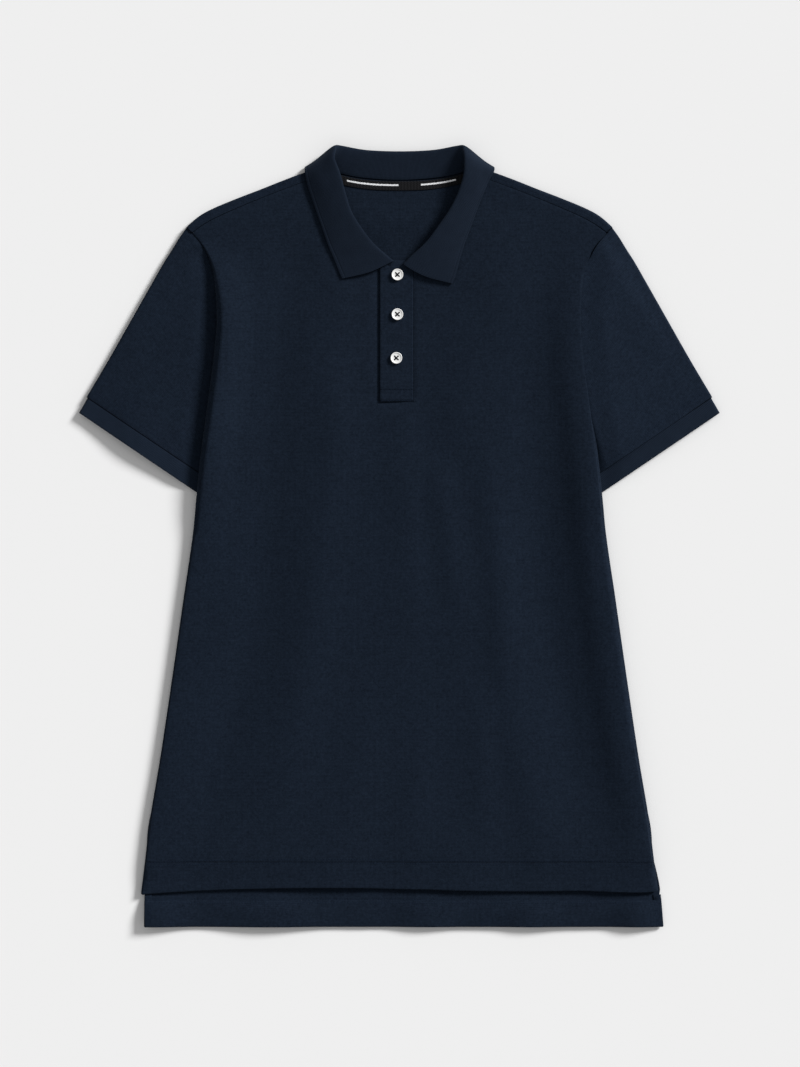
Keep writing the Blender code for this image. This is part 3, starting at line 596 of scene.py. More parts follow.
def back_half(sign, y):
    """Half the back's width at y, its armhole edge above the underarm."""
    low = BACK_SIDE.at(y, "left" if sign > 0 else "right")
    side = mix(low, SIDE.at(y, "half") - 1.0, ease(y, -330, -270))
    return mix(side, armhole(y) - 4 * SEAM_GAP, ease(y, 6, 34))


def back_neck_y(x):
    share = np.minimum(abs(x), NECK_HALF) / NECK_HALF
    return BACK_NECK_Y + BACK_NECK_RISE * share**BACK_NECK_POWER


def back_fold(sign, x):
    """The turn of the shoulder at x, from the back's layer up to the seam with the front."""
    y = SHOULDER_FOLD.at(x, "y")
    before, after = [(sign * (x + step), SHOULDER_FOLD.at(x + step, "y")) for step in (-1, 1)]
    top = front_height(sign * x, y - 6)
    turn = rolled_edge((sign * x, y), inward(before, after, (0, 0)), top, back_height(x, y - 6))
    fold_end, seam_end = BACK_TIP_XS
    end_x = mix(NECK_HALF, seam_end, (x - NECK_HALF) / (fold_end - NECK_HALF))
    end_y = SHOULDER_SEAM.at(end_x, "y")
    end = np.array([sign * end_x, end_y, front_height(sign * end_x, end_y)])
    return np.array([*turn, *(mix(turn[-1], end, share) for share in (0.25, 0.5, 0.75, 1.0))])


hem_levels = spread(BACK_HEM_FOLD_Y, BACK_HEM_FOLD_Y + HEM_DEPTH - 1, 4)
columns = np.linspace(0, 8, 65)
shares = np.interp(columns, range(9), BACK_SHARES)
crest_xs = np.interp(columns, range(9), BACK_CREST)
levels = np.concatenate([
    hem_levels, [VENT_STRIP_TOP_Y], spread(VENT_STRIP_TOP_Y, BACK_EVEN_Y, 5)[1:],
    spread(BACK_EVEN_Y, BACK_YOKE_Y, 6)[1:],
])
back_grids = []
for side, sign in SIDES:
    grid = []
    for y in levels:
        half = back_half(sign, y)
        turned = y <= VENT_STRIP_TOP_Y
        xs = sign * half * (1 - shares)
        if turned:
            inner = half - VENT_STRIP - CLOTH / 2 - HEM_RADIUS
            outer = half - CLOTH / 2 - HEM_RADIUS
            at = np.flatnonzero(shares <= BACK_SHARES[1])
            xs[at] = sign * mix(outer, inner, shares[at] / BACK_SHARES[1])
        row = np.stack([xs, np.full_like(xs, y), back_height(xs, y)], axis=-1)
        strip = np.full((len(ROLL), 3), np.nan)
        if turned:
            turn = rolled_edge((sign * half, y), (-sign, 0), row[0][2] + 2 * HEM_RADIUS, row[0][2])
            flap = turn[-1] - (sign * VENT_FLAP, 0, 0) if y > hem_levels[-2] else cut
            strip = np.array([flap, *turn[:0:-1]])
        grid.append(np.concatenate([strip, row]))
    shoulder_xs = crest_xs[crest_xs >= NECK_HALF]
    shoulder = np.array([back_fold(sign, x) for x in shoulder_xs])
    neck_xs = crest_xs[crest_xs < NECK_HALF]
    neck_y = back_neck_y(neck_xs)
    neck = np.stack([sign * neck_xs, neck_y, back_height(neck_xs, neck_y)], axis=-1)
    crest = np.concatenate([shoulder[:, 0], neck])
    base = grid[-1][len(ROLL):]
    share = np.arange(len(crest)) / (len(crest) - 1)
    for up in np.linspace(0, 1, 19)[1:]:
        side_x = sign * back_half(sign, min(mix(levels[-1], crest[0][1], up), SHOULDER_TIP_Y))
        row = mix(base, crest, up)
        if up < 1:
            drift = side_x - mix(base[0][0], crest[0][0], up)
            row[:, 0] += drift * (1 - share) ** 2
            row[:, 2] = back_height(row[:, 0], row[:, 1])
        grid.append(np.concatenate([np.full((len(ROLL), 3), np.nan), row]))
    inner_hem = []
    for column in range(len(ROLL), len(grid[0])):
        x, y, z = grid[0][column]
        turn = rolled_edge((x, y - CLOTH / 2 - HEM_RADIUS), (0, 1), z + 2 * HEM_RADIUS, z)
        up_inside = [grid[k][column] + (0, 0, 2 * HEM_RADIUS) for k in range(1, len(hem_levels))]
        inner_hem.append([*turn, *up_inside])
    x, y, z = grid[0][len(ROLL)]
    corner = []
    for angle in np.radians(spread(0, 90, 15)):
        way = np.array([sign * math.sin(angle), -math.cos(angle)])
        edge = (x, y) + way * (CLOTH / 2 + HEM_RADIUS)
        corner.append(rolled_edge(edge, -way, z + 2 * HEM_RADIUS, z))
    half_grids = [grid, shoulder.transpose(1, 0, 2), inner_hem, corner]
    back_grids += [np.array(part) for part in half_grids]

back_pique = pique("navy_pique_back", NAVY_DARK, NAVY_LIGHT)
# The panel of each half is mapped along its rows.  The turned parts take their height as width.
back_maps = [
    grid[..., :2] + grid[..., 2:] if k % len(half_grids) else knit_map(grid, grid.shape[1] - 1)
    for k, grid in enumerate(back_grids)
]
back = lay_cloth("back_cloth", back_grids, CLOTH, back_pique, "back", back_maps)

# ---- The sleeves ----------------------------------------------------------------------------
# Short set-in sleeves of the same knit, each a flattened tube that starts under the roll of the
# armhole.  Their wales run along the sleeve.  The left one, on the lamp's side, is coloured a little
# paler: painted light.
SLEEVE_WAYS = {"right": math.radians(-145), "left": math.radians(-35)}
SLEEVE_LIFT = {"right": 4.4, "left": 1.2}
UNDERARM_Y = 137.0
ARMHOLE_TOP_Y = 321.5
UNDER_FOLD_Z = 2.4
SLEEVE_TOP_Z = 4.6
CUFF_SEAM_IN_Y = 61.0
CUFF_SEAM_OUT = (325.4, 144.6)
# Painted light: the left sleeve's colours, paler than the navy of the rest, stand in for the lamp's light
# on that side.
PAINTED_LIGHT_SLEEVE_DARK = (0.0027, 0.0052, 0.0105)
PAINTED_LIGHT_SLEEVE_LIGHT = (0.0112, 0.0188, 0.0338)
SLEEVE_EDGE = Table("y x", [
    (321.5, 222.0), (312.5, 228.4), (298, 237.2), (287.6, 243.8), (266.8, 255.6),
    (225, 279.0), (183.6, 302.4), (144.6, 325.4),
])
# Soft folds of each upper layer: centre and half width, along and across it, and the rise.
SLEEVE_FOLDS = {
    "right": (
        (0.35, 0.55, 0.16, 0.30, 0.9), (0.7, 0.25, 0.2, 0.14, 0.8), (0.62, 0.78, 0.3, 0.1, -0.6),
    ),
    "left": ((0.20, 0.45, 0.46, 0.60, 6.4), (0.75, 0.14, 0.42, 0.36, 4.6)),
}


def sleeve_layers(side, x, y, along, wall):
    """Heights of the sleeve's lower and upper layers at a place, along from armhole to cuff."""
    beyond = abs(x) - SIDE.at(y, "half")
    lift = SLEEVE_LIFT[side] * along**1.5 * ease(beyond, 4, 90) * (1 - 0.8 * ease(beyond, 60, 124))
    at_seam = mix(UNDER_FOLD_Z, SLEEVE_TOP_Z, ease(y, 284, 303))
    upper = mix(at_seam, SLEEVE_TOP_Z, ease(beyond, 2.5, 26))
    return wall / 2 + lift, upper + lift


def sleeve_place(sign, along, across, layer):
    """A place on the sleeve: along from armhole to cuff, across from underarm to outer edge."""
    def at_armhole(w):
        y = mix(UNDERARM_Y, ARMHOLE_TOP_Y, w)
        beside = SIDE.at(y, "half") + 0.3
        return np.array([mix(armhole(y), beside, layer * ease(y, 277, 291)), y])

    def at_cuff(w):
        inner = (armhole(CUFF_SEAM_IN_Y), CUFF_SEAM_IN_Y)
        return np.array([mix(start, end, w) for start, end in zip(inner, CUFF_SEAM_OUT)])

    def underarm(s):
        y = mix(UNDERARM_Y, CUFF_SEAM_IN_Y, s)
        return np.array([armhole(y), y])

    def outer(s):
        y = mix(ARMHOLE_TOP_Y, CUFF_SEAM_OUT[1], s)
        start = at_armhole(1.0)[0] - SLEEVE_EDGE.at(ARMHOLE_TOP_Y, "x")
        return np.array([SLEEVE_EDGE.at(y, "x") + start * (1 - s) ** 4, y])

    rails = mix(at_armhole(across), at_cuff(across), along) + mix(underarm(along), outer(along), across)
    corners = (at_armhole(0.0), at_armhole(1.0), at_cuff(0.0), at_cuff(1.0))
    flat = mix(mix(corners[0], corners[1], across), mix(corners[2], corners[3], across), along)
    place = rails - flat
    return np.array([sign * place[0], place[1]])


def sleeve_fold(side, along, across):
    """How far the soft folds lift the upper layer."""
    lift = 0.0
    for centre, middle, length, width, rise in SLEEVE_FOLDS[side]:
        lift += rise * math.exp(-(((along - centre) / length) ** 2) - ((across - middle) / width) ** 2)
    return lift * ease(across, 0, 0.12) * ease(-across, -1, -0.9)


def tube(side, sign, place, stations, reach, wall, fold):
    """A flattened tube: an upper and a lower layer joined by a turn at each long edge."""
    rows = []
    round_the_fold = np.array((67.5, 45, 22.5, 0, -22.5, -45, -67.5))
    for along in stations:
        edges = [place(sign, along, across, 0.5) for across in (0.0, 1.0)]
        width = float(np.hypot(*(edges[1] - edges[0])))
        whole = reach(along)
        ends = [sleeve_layers(side, *edge, whole, wall) for edge in edges]
        radii = [(top - low) / 2 for low, top in ends]
        first = (wall / 2 + radii[0]) / width
        last = 1 - (wall / 2 + radii[1]) / width
        ring = []

        def layer(shares, level):
            for share in shares:
                across = mix(first, last, share)
                x, y = place(sign, along, across, float(level))
                height = sleeve_layers(side, x, y, whole, wall)[level]
                ring.append((x, y, height + level * fold(along, share)))

        def turn(edge, heading, angles):
            low, top = sleeve_layers(side, *place(sign, along, edge, 0.5), whole, wall)
            radius = (top - low) / 2
            for a in np.radians(angles):
                across = edge + heading * radius * math.cos(a) / width
                x, y = place(sign, along, across, (1 + math.sin(a)) / 2)
                ring.append((x, y, (low + top) / 2 + radius * math.sin(a)))

        layer(np.linspace(0, 1, 44), 1)
        turn(last, 1, round_the_fold)
        layer(np.linspace(1, 0, 36), 0)
        turn(first, -1, -round_the_fold)
        rows.append(ring + ring[:1])
    return np.array(rows, dtype=float)


def turned_map(grid, angle):
    """The knit of a piece that lies turned by an angle, with the height of its folds added."""
    x, y, z = grid[..., 0], grid[..., 1], grid[..., 2]
    along = x * math.cos(angle) + y * math.sin(angle)
    across = y * math.cos(angle) - x * math.sin(angle) + z
    return np.stack([across, along], axis=-1)


sleeve_piques = {
    "right": pique("navy_pique_sleeve_right", NAVY_DARK, NAVY_LIGHT),
    "left": pique("navy_pique_sleeve_left_painted_light", PAINTED_LIGHT_SLEEVE_DARK, PAINTED_LIGHT_SLEEVE_LIGHT),
}
for side, sign in SIDES:
    grid = tube(side, sign, sleeve_place, np.linspace(0, 1.0, 44), lambda s: s, CLOTH,
                lambda along, across: sleeve_fold(side, along, across))
    lay_cloth(
        f"sleeve_{side}_cloth", [grid], CLOTH, sleeve_piques[side], f"sleeve_{side}",
        [turned_map(grid, SLEEVE_WAYS[side])])

# ---- The cuffs ------------------------------------------------------------------------------
# A band of fine rib knitted double at each sleeve's end, firmer than the pique, with its ribs
# running along the sleeve.
CUFF_RIB = 1.4
CUFF_START_OUT = (324.2, 143.8)
CUFF_MOUTH_IN = (203.0, 40.0)
CUFF_MOUTH_OUT = (333.2, 128.2)
CUFF_DARK = (0.0032, 0.0060, 0.0119)
CUFF_LIGHT = (0.0124, 0.0203, 0.0358)


def ribbed(name, pitch, dark, light, lines=()):
    """A fine rib or flat knit: ridges up the cloth, crossed by its courses."""
    finish = Finish(name, 0.9, Sheen_Weight=0.045, **BLOOM)
    where, along, up = finish.place()
    ribs = (along * (2 * math.pi / (pitch * MM))).maths("SINE") * 0.5 + 0.5
    courses = (up * (2 * math.pi / (0.9 * MM))).maths("SINE") * 0.5 + 0.5
    yarn = finish.noise(where, 700.0, 3.0, 0.6)
    patch = finish.noise(where, 80.0)
    shade = ribs * 0.3 + courses * 0.12 + yarn * 0.6 + patch * 0.3 - 0.2
    relief = ribs * 0.8 + courses * 0.3 + yarn * 0.5
    for level in lines:
        relief = relief - dent(up, level, 0.6) * 2.0
    colour = finish.blend(shade.within_one(), (*dark, 1), (*light, 1))
    return finish.show(colour, relief, 0.0003, 0.5, yarn * 0.1 + 0.82)


def cuff_place(sign, along, across, layer):
    """A place on the cuff: along from its seam to its mouth, across as on the sleeve."""
    start_in = (armhole(CUFF_SEAM_IN_Y), CUFF_SEAM_IN_Y)
    inner = [mix(start, end, along) for start, end in zip(start_in, CUFF_MOUTH_IN)]
    outer = [mix(start, end, along) for start, end in zip(CUFF_START_OUT, CUFF_MOUTH_OUT)]
    return np.array([sign * mix(inner[0], outer[0], across), mix(inner[1], outer[1], across)])


cuff_rib = ribbed("navy_rib_cuff", 1.5, CUFF_DARK, CUFF_LIGHT)
for side, sign in SIDES:
    grid = tube(side, sign, cuff_place, np.linspace(0.0, 1.0, 9), lambda s: 1.0, CUFF_RIB,
                lambda along, across: 0.0)
    lay_cloth(f"cuff_{side}_rib", [grid], CUFF_RIB, cuff_rib, f"cuff_{side}",
                            [turned_map(grid, SLEEVE_WAYS[side])], edge=0.45)

# ---- The collar -----------------------------------------------------------------------------
# One flat-knitted piece sewn to the neck, which stands, rolls and falls.  Its two points lie on
# the front, its back half lies under the back's neck edge, and a selvedge runs along its edge.
COLLAR_KNIT = 1.6
COLLAR_FALL_Z = COLLAR_KNIT / 2
COLLAR_RIGHT = (
    ((-11.0, 281.8, 5.6), (-7.4, 285.2, 8.9), (-30.5, 274.3, 8.7), (-59.5, 267.4, 7.7)),
    ((-22.4, 286.2, 5.5), (-13.8, 290.8, 10.0), (-38.0, 281.8, 9.4), (-62.6, 274.4, 7.7)),
    ((-41.0, 298.6, 5.5), (-26.2, 302.2, 11.4), (-46.0, 292.8, 10.2), (-68.0, 288.0, 7.7)),
    ((-54.6, 315.2, 5.5), (-38.8, 318.0, 12.4), (-57.6, 308.4, 10.8), (-73.4, 300.6, 7.7)),
    ((-64.0, 331.4, 5.6), (-50.2, 336.4, 13.4), (-66.4, 328.6, 11.4), (-80.6, 321.2, 7.7)),
    ((-71.4, 348.0, 5.8), (-56.6, 356.0, 14.6), (-73.6, 350.0, 12.6), (-88.8, 344.6, 7.8)),
    ((-76.8, 362.0, 6.0), (-61.6, 374.6, 16.4), (-80.4, 370.6, 13.8), (-95.6, 365.4, 8.0)),
)
COLLAR_LEFT = (
    ((9.0, 283.4, 5.8), (5.4, 281.4, 9.2), (26.5, 269.8, 8.8), (55.2, 262.2, 7.7)),
    ((22.0, 286.2, 5.5), (13.2, 290.2, 10.0), (37.0, 280.2, 9.4), (58.4, 270.6, 7.7)),
    ((41.0, 298.6, 5.5), (29.4, 306.0, 11.4), (46.4, 296.4, 10.2), (62.2, 285.0, 7.7)),
    ((54.6, 315.2, 5.5), (41.8, 322.6, 12.4), (56.4, 313.0, 10.8), (67.4, 302.6, 7.7)),
    ((64.0, 331.4, 5.6), (53.2, 339.4, 13.4), (65.4, 331.2, 11.2), (74.8, 322.6, 7.7)),
    ((71.4, 348.0, 5.8), (61.4, 356.4, 14.6), (74.0, 351.4, 12.2), (83.0, 345.2, 7.8)),
    ((76.8, 362.0, 6.0), (67.0, 374.8, 16.4), (81.0, 371.6, 13.6), (91.6, 366.4, 8.0)),
)
COLLAR_BACK = (
    ((77.4, 374.6, 6.2), (67.6, 391.0, 17.0), (83.0, 385.0, 12.6), (98.0, 378.4, 7.8)),
    ((76.8, 381.0, 5.2), (67.0, 399.6, 15.6), (85.0, 391.0, 7.0), (97.4, 383.6, 0.9)),
    ((71.4, 381.0, 3.8), (65.6, 404.2, 12.8), (81.0, 393.6, 2.2), (90.5, 374.0, 0.8)),
    ((62.0, 377.6, 3.5), (58.6, 403.8, 9.6), (66.6, 394.0, 1.0), (72.0, 358.0, 0.8)),
    ((38.0, 373.0, 3.4), (34.6, 399.6, 7.4), (36.6, 390.0, 0.9), (40.0, 351.6, 0.8)),
)
COLLAR_CENTRE = ((0.0, 370.6, 3.4), (0.0, 398.2, 6.8), (0.0, 388.6, 0.9), (0.0, 350.0, 0.8))
COLLAR_WIDTH = 63.0
COLLAR_SELVEDGE = 3.4
ROLL_COLUMN = 12


def through(points, steps):
    """Points on a smooth curve through the given ones, with some steps in each span."""
    p = np.array(points, dtype=float)
    p = np.concatenate([[2 * p[0] - p[1]], p, [2 * p[-1] - p[-2]]])
    t = (np.arange(steps) / steps)[:, None, None]
    a, b, c, d = p[:-3], p[1:-2], p[2:-1], p[3:]
    bend, twist = 2 * a - 5 * b + 4 * c - d, 3 * b - a - 3 * c + d
    spans = 0.5 * (2 * b + (c - a) * t + bend * t**2 + twist * t**3)
    return np.concatenate([spans.transpose(1, 0, 2).reshape(-1, 3), p[-2:-1]])


mirrored = [tuple((-x, y, z) for x, y, z in section) for section in COLLAR_BACK]
sections = np.array([
    *COLLAR_RIGHT, *mirrored, COLLAR_CENTRE, *COLLAR_BACK[::-1], *COLLAR_LEFT[::-1],
])
rails = np.array([through(sections[:, i], 8) for i in range(4)])
collar_grid = np.array([through(rails[:, k], 9) for k in range(rails.shape[1])])
collar_grid[..., 2] = np.maximum(collar_grid[..., 2], COLLAR_FALL_Z)
down = np.linalg.norm(np.diff(collar_grid, axis=1), axis=2).cumsum(axis=1)
down = np.concatenate([np.zeros((len(down), 1)), down], axis=1)
down *= COLLAR_WIDTH / down[:, -1:]
round_neck = np.linalg.norm(np.diff(collar_grid[:, ROLL_COLUMN], axis=0), axis=1).cumsum()
round_neck = np.concatenate([[0.0], round_neck])[:, None] + np.zeros_like(down)
collar_map = np.stack([round_neck, down], axis=-1)

collar_knit = ribbed("navy_collar_knit", 1.2, (0.0028, 0.0052, 0.0104), (0.0110, 0.0178, 0.0315),
                     [COLLAR_WIDTH - COLLAR_SELVEDGE])
collar = lay_cloth("collar_leaf", [collar_grid], COLLAR_KNIT, collar_knit, "collar",
                   [collar_map], edge=0.5)

# ---- The neck tape --------------------------------------------------------------------------
# A charcoal herringbone tape over the back neck seam, with a narrow white stripe woven in on
# each side and its middle left bare.
TAPE = 0.6
TAPE_WIDTH = 10.0
TAPE_HALF = 73.0
TAPE_STRIPES = ((-54.6, -1.0), (22.4, 58.6))
STRIPE_HALF = 0.85
STRIPE_DROP = 4.6

xs = np.linspace(-TAPE_HALF, TAPE_HALF, 61)
wide, drop = np.meshgrid(xs, np.linspace(SEAM_GAP * 2, TAPE_WIDTH, 7))
tall = back_neck_y(wide) - drop
tape_grid = np.stack([wide, tall, back_height(wide, tall) + (CLOTH + TAPE) / 2 + SEAM_GAP], axis=-1)
tape_map = np.stack([wide, drop], axis=-1)

weave = Finish("charcoal_tape", 0.85, Specular_IOR_Level=0.06)
where, along, up = weave.place()
zigzag = (up * 900.0).maths("PINGPONG", 1.0) * 1.3
twill = (along * 1900.0 + zigzag * 2.4).maths("SINE") * 0.5 + 0.5
fibre = weave.noise(where, 900.0, 2.0, 0.6)
wander = (fibre - 0.5) * (1.1 * MM)
in_stripe = (up - STRIPE_DROP * MM + wander).maths("ABSOLUTE").maths("LESS_THAN", STRIPE_HALF * MM)
ends = 0.0
for start, end in TAPE_STRIPES:
    ends = ends + along.maths("GREATER_THAN", start * MM) * along.maths("LESS_THAN", end * MM)
charcoal = weave.blend(
    twill * 0.6 + fibre * 0.4, (0.0030, 0.0032, 0.0040, 1), (0.0135, 0.0135, 0.0150, 1))
white = weave.blend(twill * 0.4 + fibre * 0.6, (0.50, 0.51, 0.53, 1), (0.88, 0.89, 0.90, 1))
striped = weave.blend(in_stripe * ends, charcoal, white)
tape_finish = weave.show(striped, twill + fibre * 0.5, 0.00015, 0.5)
neck_tape = lay_cloth("woven_neck_tape", [tape_grid], TAPE, tape_finish, "neck_tape",
                      [tape_map], edge=0.15)

# ---- The placket ----------------------------------------------------------------------------
# Two folded strips of the pique in the slot of the front, one over the other.  The upper one
# carries the buttonholes, is folded along its free edge and is closed by a stitched box below.
PLACKET_RIGHT_X = -20.3
PLACKET_LEFT_X = 14.4
PLACKET_TOP_Y = 281.2
PLACKET_TAB = (-9.4, 8.0, 286.5)
PLACKET_WALL = 1.8
PLACKET_BOX_ROWS = (140.7, 152.0)
UNDER_LEFT_X = 12.0
UNDER_TOP_Y = 277.0


def upper_placket_height(x):
    return mix(5.65, 5.25, ease(x, PLACKET_RIGHT_X, PLACKET_LEFT_X))


# The box rows are sunk into the placket's pique and darkened: painted shade along them.
placket_pique = pique("navy_pique_placket", NAVY_DARK, NAVY_LIGHT, PLACKET_BOX_ROWS)
tab_left, tab_right, tab_top = PLACKET_TAB
xs = np.concatenate([
    spread(PLACKET_RIGHT_X, tab_left, 2), spread(tab_left, tab_right, 2)[1:],
    spread(tab_right, PLACKET_LEFT_X, 2)[1:],
])
ys = np.concatenate([spread(SLOT_BOTTOM_Y + SEAM_GAP, PLACKET_TOP_Y, 3), [tab_top]])
wide, tall = np.meshgrid(xs, ys)
upper_grid = np.stack([wide, tall, upper_placket_height(wide)], axis=-1)
upper_grid[(tall > PLACKET_TOP_Y) & ((wide < tab_left - 0.01) | (wide > tab_right + 0.01))] = np.nan
placket_upper = lay_cloth("placket_strip_upper", [upper_grid], PLACKET_WALL, placket_pique,
                          "placket_upper", [upper_grid[..., :2]], edge=0.6)
wide, tall = np.meshgrid(
    spread(SLOT_RIGHT_X + SEAM_GAP, UNDER_LEFT_X, 3), spread(SLOT_BOTTOM_Y + SEAM_GAP, UNDER_TOP_Y, 3))
under_grid = np.stack([wide, tall, np.full_like(wide, UNDER_PLACKET_Z)], axis=-1)
placket_under = lay_cloth("placket_strip_under", [under_grid], UNDER_PLACKET_WALL, placket_pique,
                          "placket_under", [under_grid[..., :2]], edge=0.5)

# ---- The stitching --------------------------------------------------------------------------
# Spun polyester thread a shade bluer than the cloth, in short stitches that bed into it: the
# hems, the shoulder seams, the sleeve ends, the placket and the vents.  The cuffs' seams and the
# shoulders' tips have a near-black line of beads, painted shade: the shade that lies in a pulled-in seam.
THREAD = 0.42
STITCH_PITCH = 2.9
STITCH_LENGTH = 2.3
SEAM_PITCH = 2.0
SEAM_LENGTH = 2.6
SEAM_THICKNESS = 0.95
SHOULDER_ROWS = (0.30, 0.62)
SHOULDER_EDGE = 1.6
BACK_HEM_ROWS = (HEM_DEPTH - 0.6, HEM_DEPTH - 3.8)
VENT_ROWS = (5.0, 7.2)
SLEEVE_ROW = 0.955
SHOULDER_TIP_SEAM = ((215.2, 315.2), (221.8, 321.2))


def along_line(points, pitch, first=0.5):
    """Even places along a line of points, with the way on at each."""
    points = np.array(points, dtype=float)
    run = np.concatenate([[0.0], np.linalg.norm(np.diff(points, axis=0), axis=1).cumsum()])
    where = np.arange(first * pitch, run[-1], pitch)
    before, place, after = [
        np.stack([np.interp(where + step, run, points[:, i]) for i in range(3)], axis=-1)
        for step in (-0.4, 0.0, 0.4)
    ]
    way = after - before
    return place, way / np.linalg.norm(way, axis=1)[:, None]


def sew(name, lines, finish, pitch=STITCH_PITCH, length=STITCH_LENGTH, thread=THREAD):
    """Rows of stitches on the cloth, one mesh, each stitch a short bead of thread lying flat."""
    ring = np.radians(np.arange(0, 360, 72))
    stations = ((-0.5, 0.3), (-0.3, 1.0), (0.3, 1.0), (0.5, 0.3))
    points, faces = [], []
    for line in lines:
        for place, way in zip(*along_line(line, pitch)):
            level = np.cross((0, 0, 1), way)
            level /= np.linalg.norm(level)
            upward = np.cross(way, level)
            start = len(points)
            for share, swell in stations:
                centre = place + way * length * share + upward * 0.02
                for a in ring:
                    offset = level * math.cos(a) + upward * math.sin(a) * 0.7
                    points.append((centre + offset * thread / 2 * swell + shift) * MM)
            count = len(ring)
            for k in range(len(stations) - 1):
                for i in range(count):
                    j = (i + 1) % count
                    low, high = start + k * count, start + (k + 1) * count
                    faces.append((low + i, low + j, high + j, high + i))
            faces.append(tuple(range(start + count - 1, start - 1, -1)))
            last = start + (len(stations) - 1) * count
            faces.append(tuple(range(last, last + count)))
    data = bpy.data.meshes.new(name)
    data.from_pydata([tuple(p) for p in points], [], faces)
    piece = add_piece(name, data)
    bpy.ops.object.mode_set(mode="EDIT")
    bpy.ops.mesh.select_all(action="SELECT")
    bpy.ops.mesh.normals_make_consistent(inside=False)
    bpy.ops.object.mode_set(mode="OBJECT")
    bpy.ops.object.shade_smooth()
    data.materials.append(finish)
    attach(piece, "root")
    return piece


thread_finish = Finish("navy_thread", 0.75, Specular_IOR_Level=0.05)
twist = thread_finish.noise(thread_finish.body_place(), 2400.0, 1.0)
spun = thread_finish.blend(twist, (0.0026, 0.0054, 0.0118, 1), (0.0108, 0.0200, 0.0410, 1))
navy_thread = thread_finish.show(spun, twist, 0.0001, 0.4)


def on_front(x, y):
    """A place on the top of the front, below the neck, by its distance up from the hem's curve."""
    return x, y + hem_drop(x, y), front_height(x, y) + CLOTH / 2


def on_placket(x, y):
    """A place on the top of the upper placket strip."""
    return x, y, upper_placket_height(x) + PLACKET_WALL / 2


def on_back_hem(x, y):
    """A place on the top of the back's turned hem."""
    return x, y, back_height(x, y) + 2 * HEM_RADIUS + CLOTH / 2


hem_lines = [[on_front(x, HEM_FOLD_Y + row) for x in spread(-262, 262, 4)] for row in HEM_ROWS]
placket_lines = [
    [on_placket(PLACKET_LEFT_X - 1.6, y) for y in spread(SLOT_BOTTOM_Y + 1.2, 266, 6)],
    *([on_placket(x, y) for x in spread(PLACKET_RIGHT_X + 1, PLACKET_LEFT_X - 1.4, 3)]
      for y in PLACKET_BOX_ROWS),
]
front_stitching = sew("stitching_front", hem_lines + placket_lines, navy_thread)

shoulder_lines = []
for side, sign in SIDES:
    for share in SHOULDER_ROWS:
        line = []
        for x in spread(92, 209, 4):
            seam_y = SHOULDER_SEAM.at(x, "y")
            fold_y = SHOULDER_FOLD.at(x, "y") - SHOULDER_EDGE
            y = mix(seam_y, fold_y, share)
            line.append((sign * x, y, front_height(sign * x, y) + CLOTH / 2 - 0.05))
        shoulder_lines.append(line)
back_lines = [
    [on_back_hem(x, BACK_HEM_FOLD_Y + row) for x in spread(-254, 262, 4)] for row in BACK_HEM_ROWS
]
for side, sign in SIDES:
    for inset in VENT_ROWS:
        back_lines.append([
            on_back_hem(sign * (back_half(sign, y) - inset), y)
            for y in spread(BACK_HEM_FOLD_Y + 0.5, BACK_HEM_FOLD_Y + HEM_DEPTH - 2, 3)
        ])
back_stitching = sew("stitching_back", shoulder_lines + back_lines, navy_thread)

# One near-black finish for two things: painted shade in the cuffs' seams and at the shoulders' tips, and
# the real colour of the buttons' dark thread.
shade_and_thread_finish = Finish("painted_seam_shade_and_button_thread", 0.9, Specular_IOR_Level=0.03)
furrow = shade_and_thread_finish.noise(shade_and_thread_finish.body_place(), 1500.0)
near_black = shade_and_thread_finish.blend(furrow, (0.0006, 0.0010, 0.0020, 1), (0.0018, 0.0028, 0.0050, 1))
painted_seam_shade_and_button_thread = shade_and_thread_finish.show(near_black, furrow, 0.0001, 0.3)

for side, sign in SIDES:
    cuff_seam = []
    for across in np.linspace(0.03, 0.985, 60):
        x, y = sleeve_place(sign, 1.0, across, 1.0)
        cuff_seam.append((x, y, sleeve_layers(side, x, y, 1.0, CLOTH)[1] + CLOTH / 2 + 0.02))
    tip_seam = []
    for share in np.linspace(0, 1, 6):
        x, y = (mix(start, end, share) for start, end in zip(*SHOULDER_TIP_SEAM))
        tip_seam.append((sign * x, y, front_height(sign * x, y) + CLOTH / 2 + 0.05))
    # These beads are painted shade: a near-black line where the seams pull in.
    sew(f"painted_seam_shade_sleeve_{side}", [cuff_seam, tip_seam], painted_seam_shade_and_button_thread,
                             SEAM_PITCH, SEAM_LENGTH, SEAM_THICKNESS)
    line = []
    for across in np.linspace(0.05, 0.97, 40):
        x, y = sleeve_place(sign, SLEEVE_ROW, across, 1.0)
        line.append((x, y, sleeve_layers(side, x, y, SLEEVE_ROW, CLOTH)[1]
                     + sleeve_fold(side, SLEEVE_ROW, across) + CLOTH / 2))
    sew(f"stitching_sleeve_{side}", [line], navy_thread)

# ---- The buttons ----------------------------------------------------------------------------
# Three turned polyester buttons with a raised rim, a dished face and four holes, each sewn on
# with crossed dark thread.
BUTTON_DIAMETER = 12.0
BUTTON_HEIGHT = 2.4
# The rim's flat top, the step down to the face, and its dish: how wide and how deep.
FACE_STEPS = ((0.8, 0.0), (0.45, -0.45), (1.2, -0.12))
HOLE_REACH = 2.5
HOLE_DIAMETER = 1.7
STRAND_RADIUS = 0.34

shell = Finish("white_button", 0.25, Coat_Weight=0.35, Coat_Roughness=0.15)
cloud = shell.noise(shell.body_place(), 260.0, distortion=1.2)
clouded = shell.blend(cloud, (0.70, 0.70, 0.69, 1), (0.86, 0.86, 0.85, 1))
button_finish = shell.show(clouded, cloud, 0.00002, 0.3, cloud * 0.12 + 0.2)


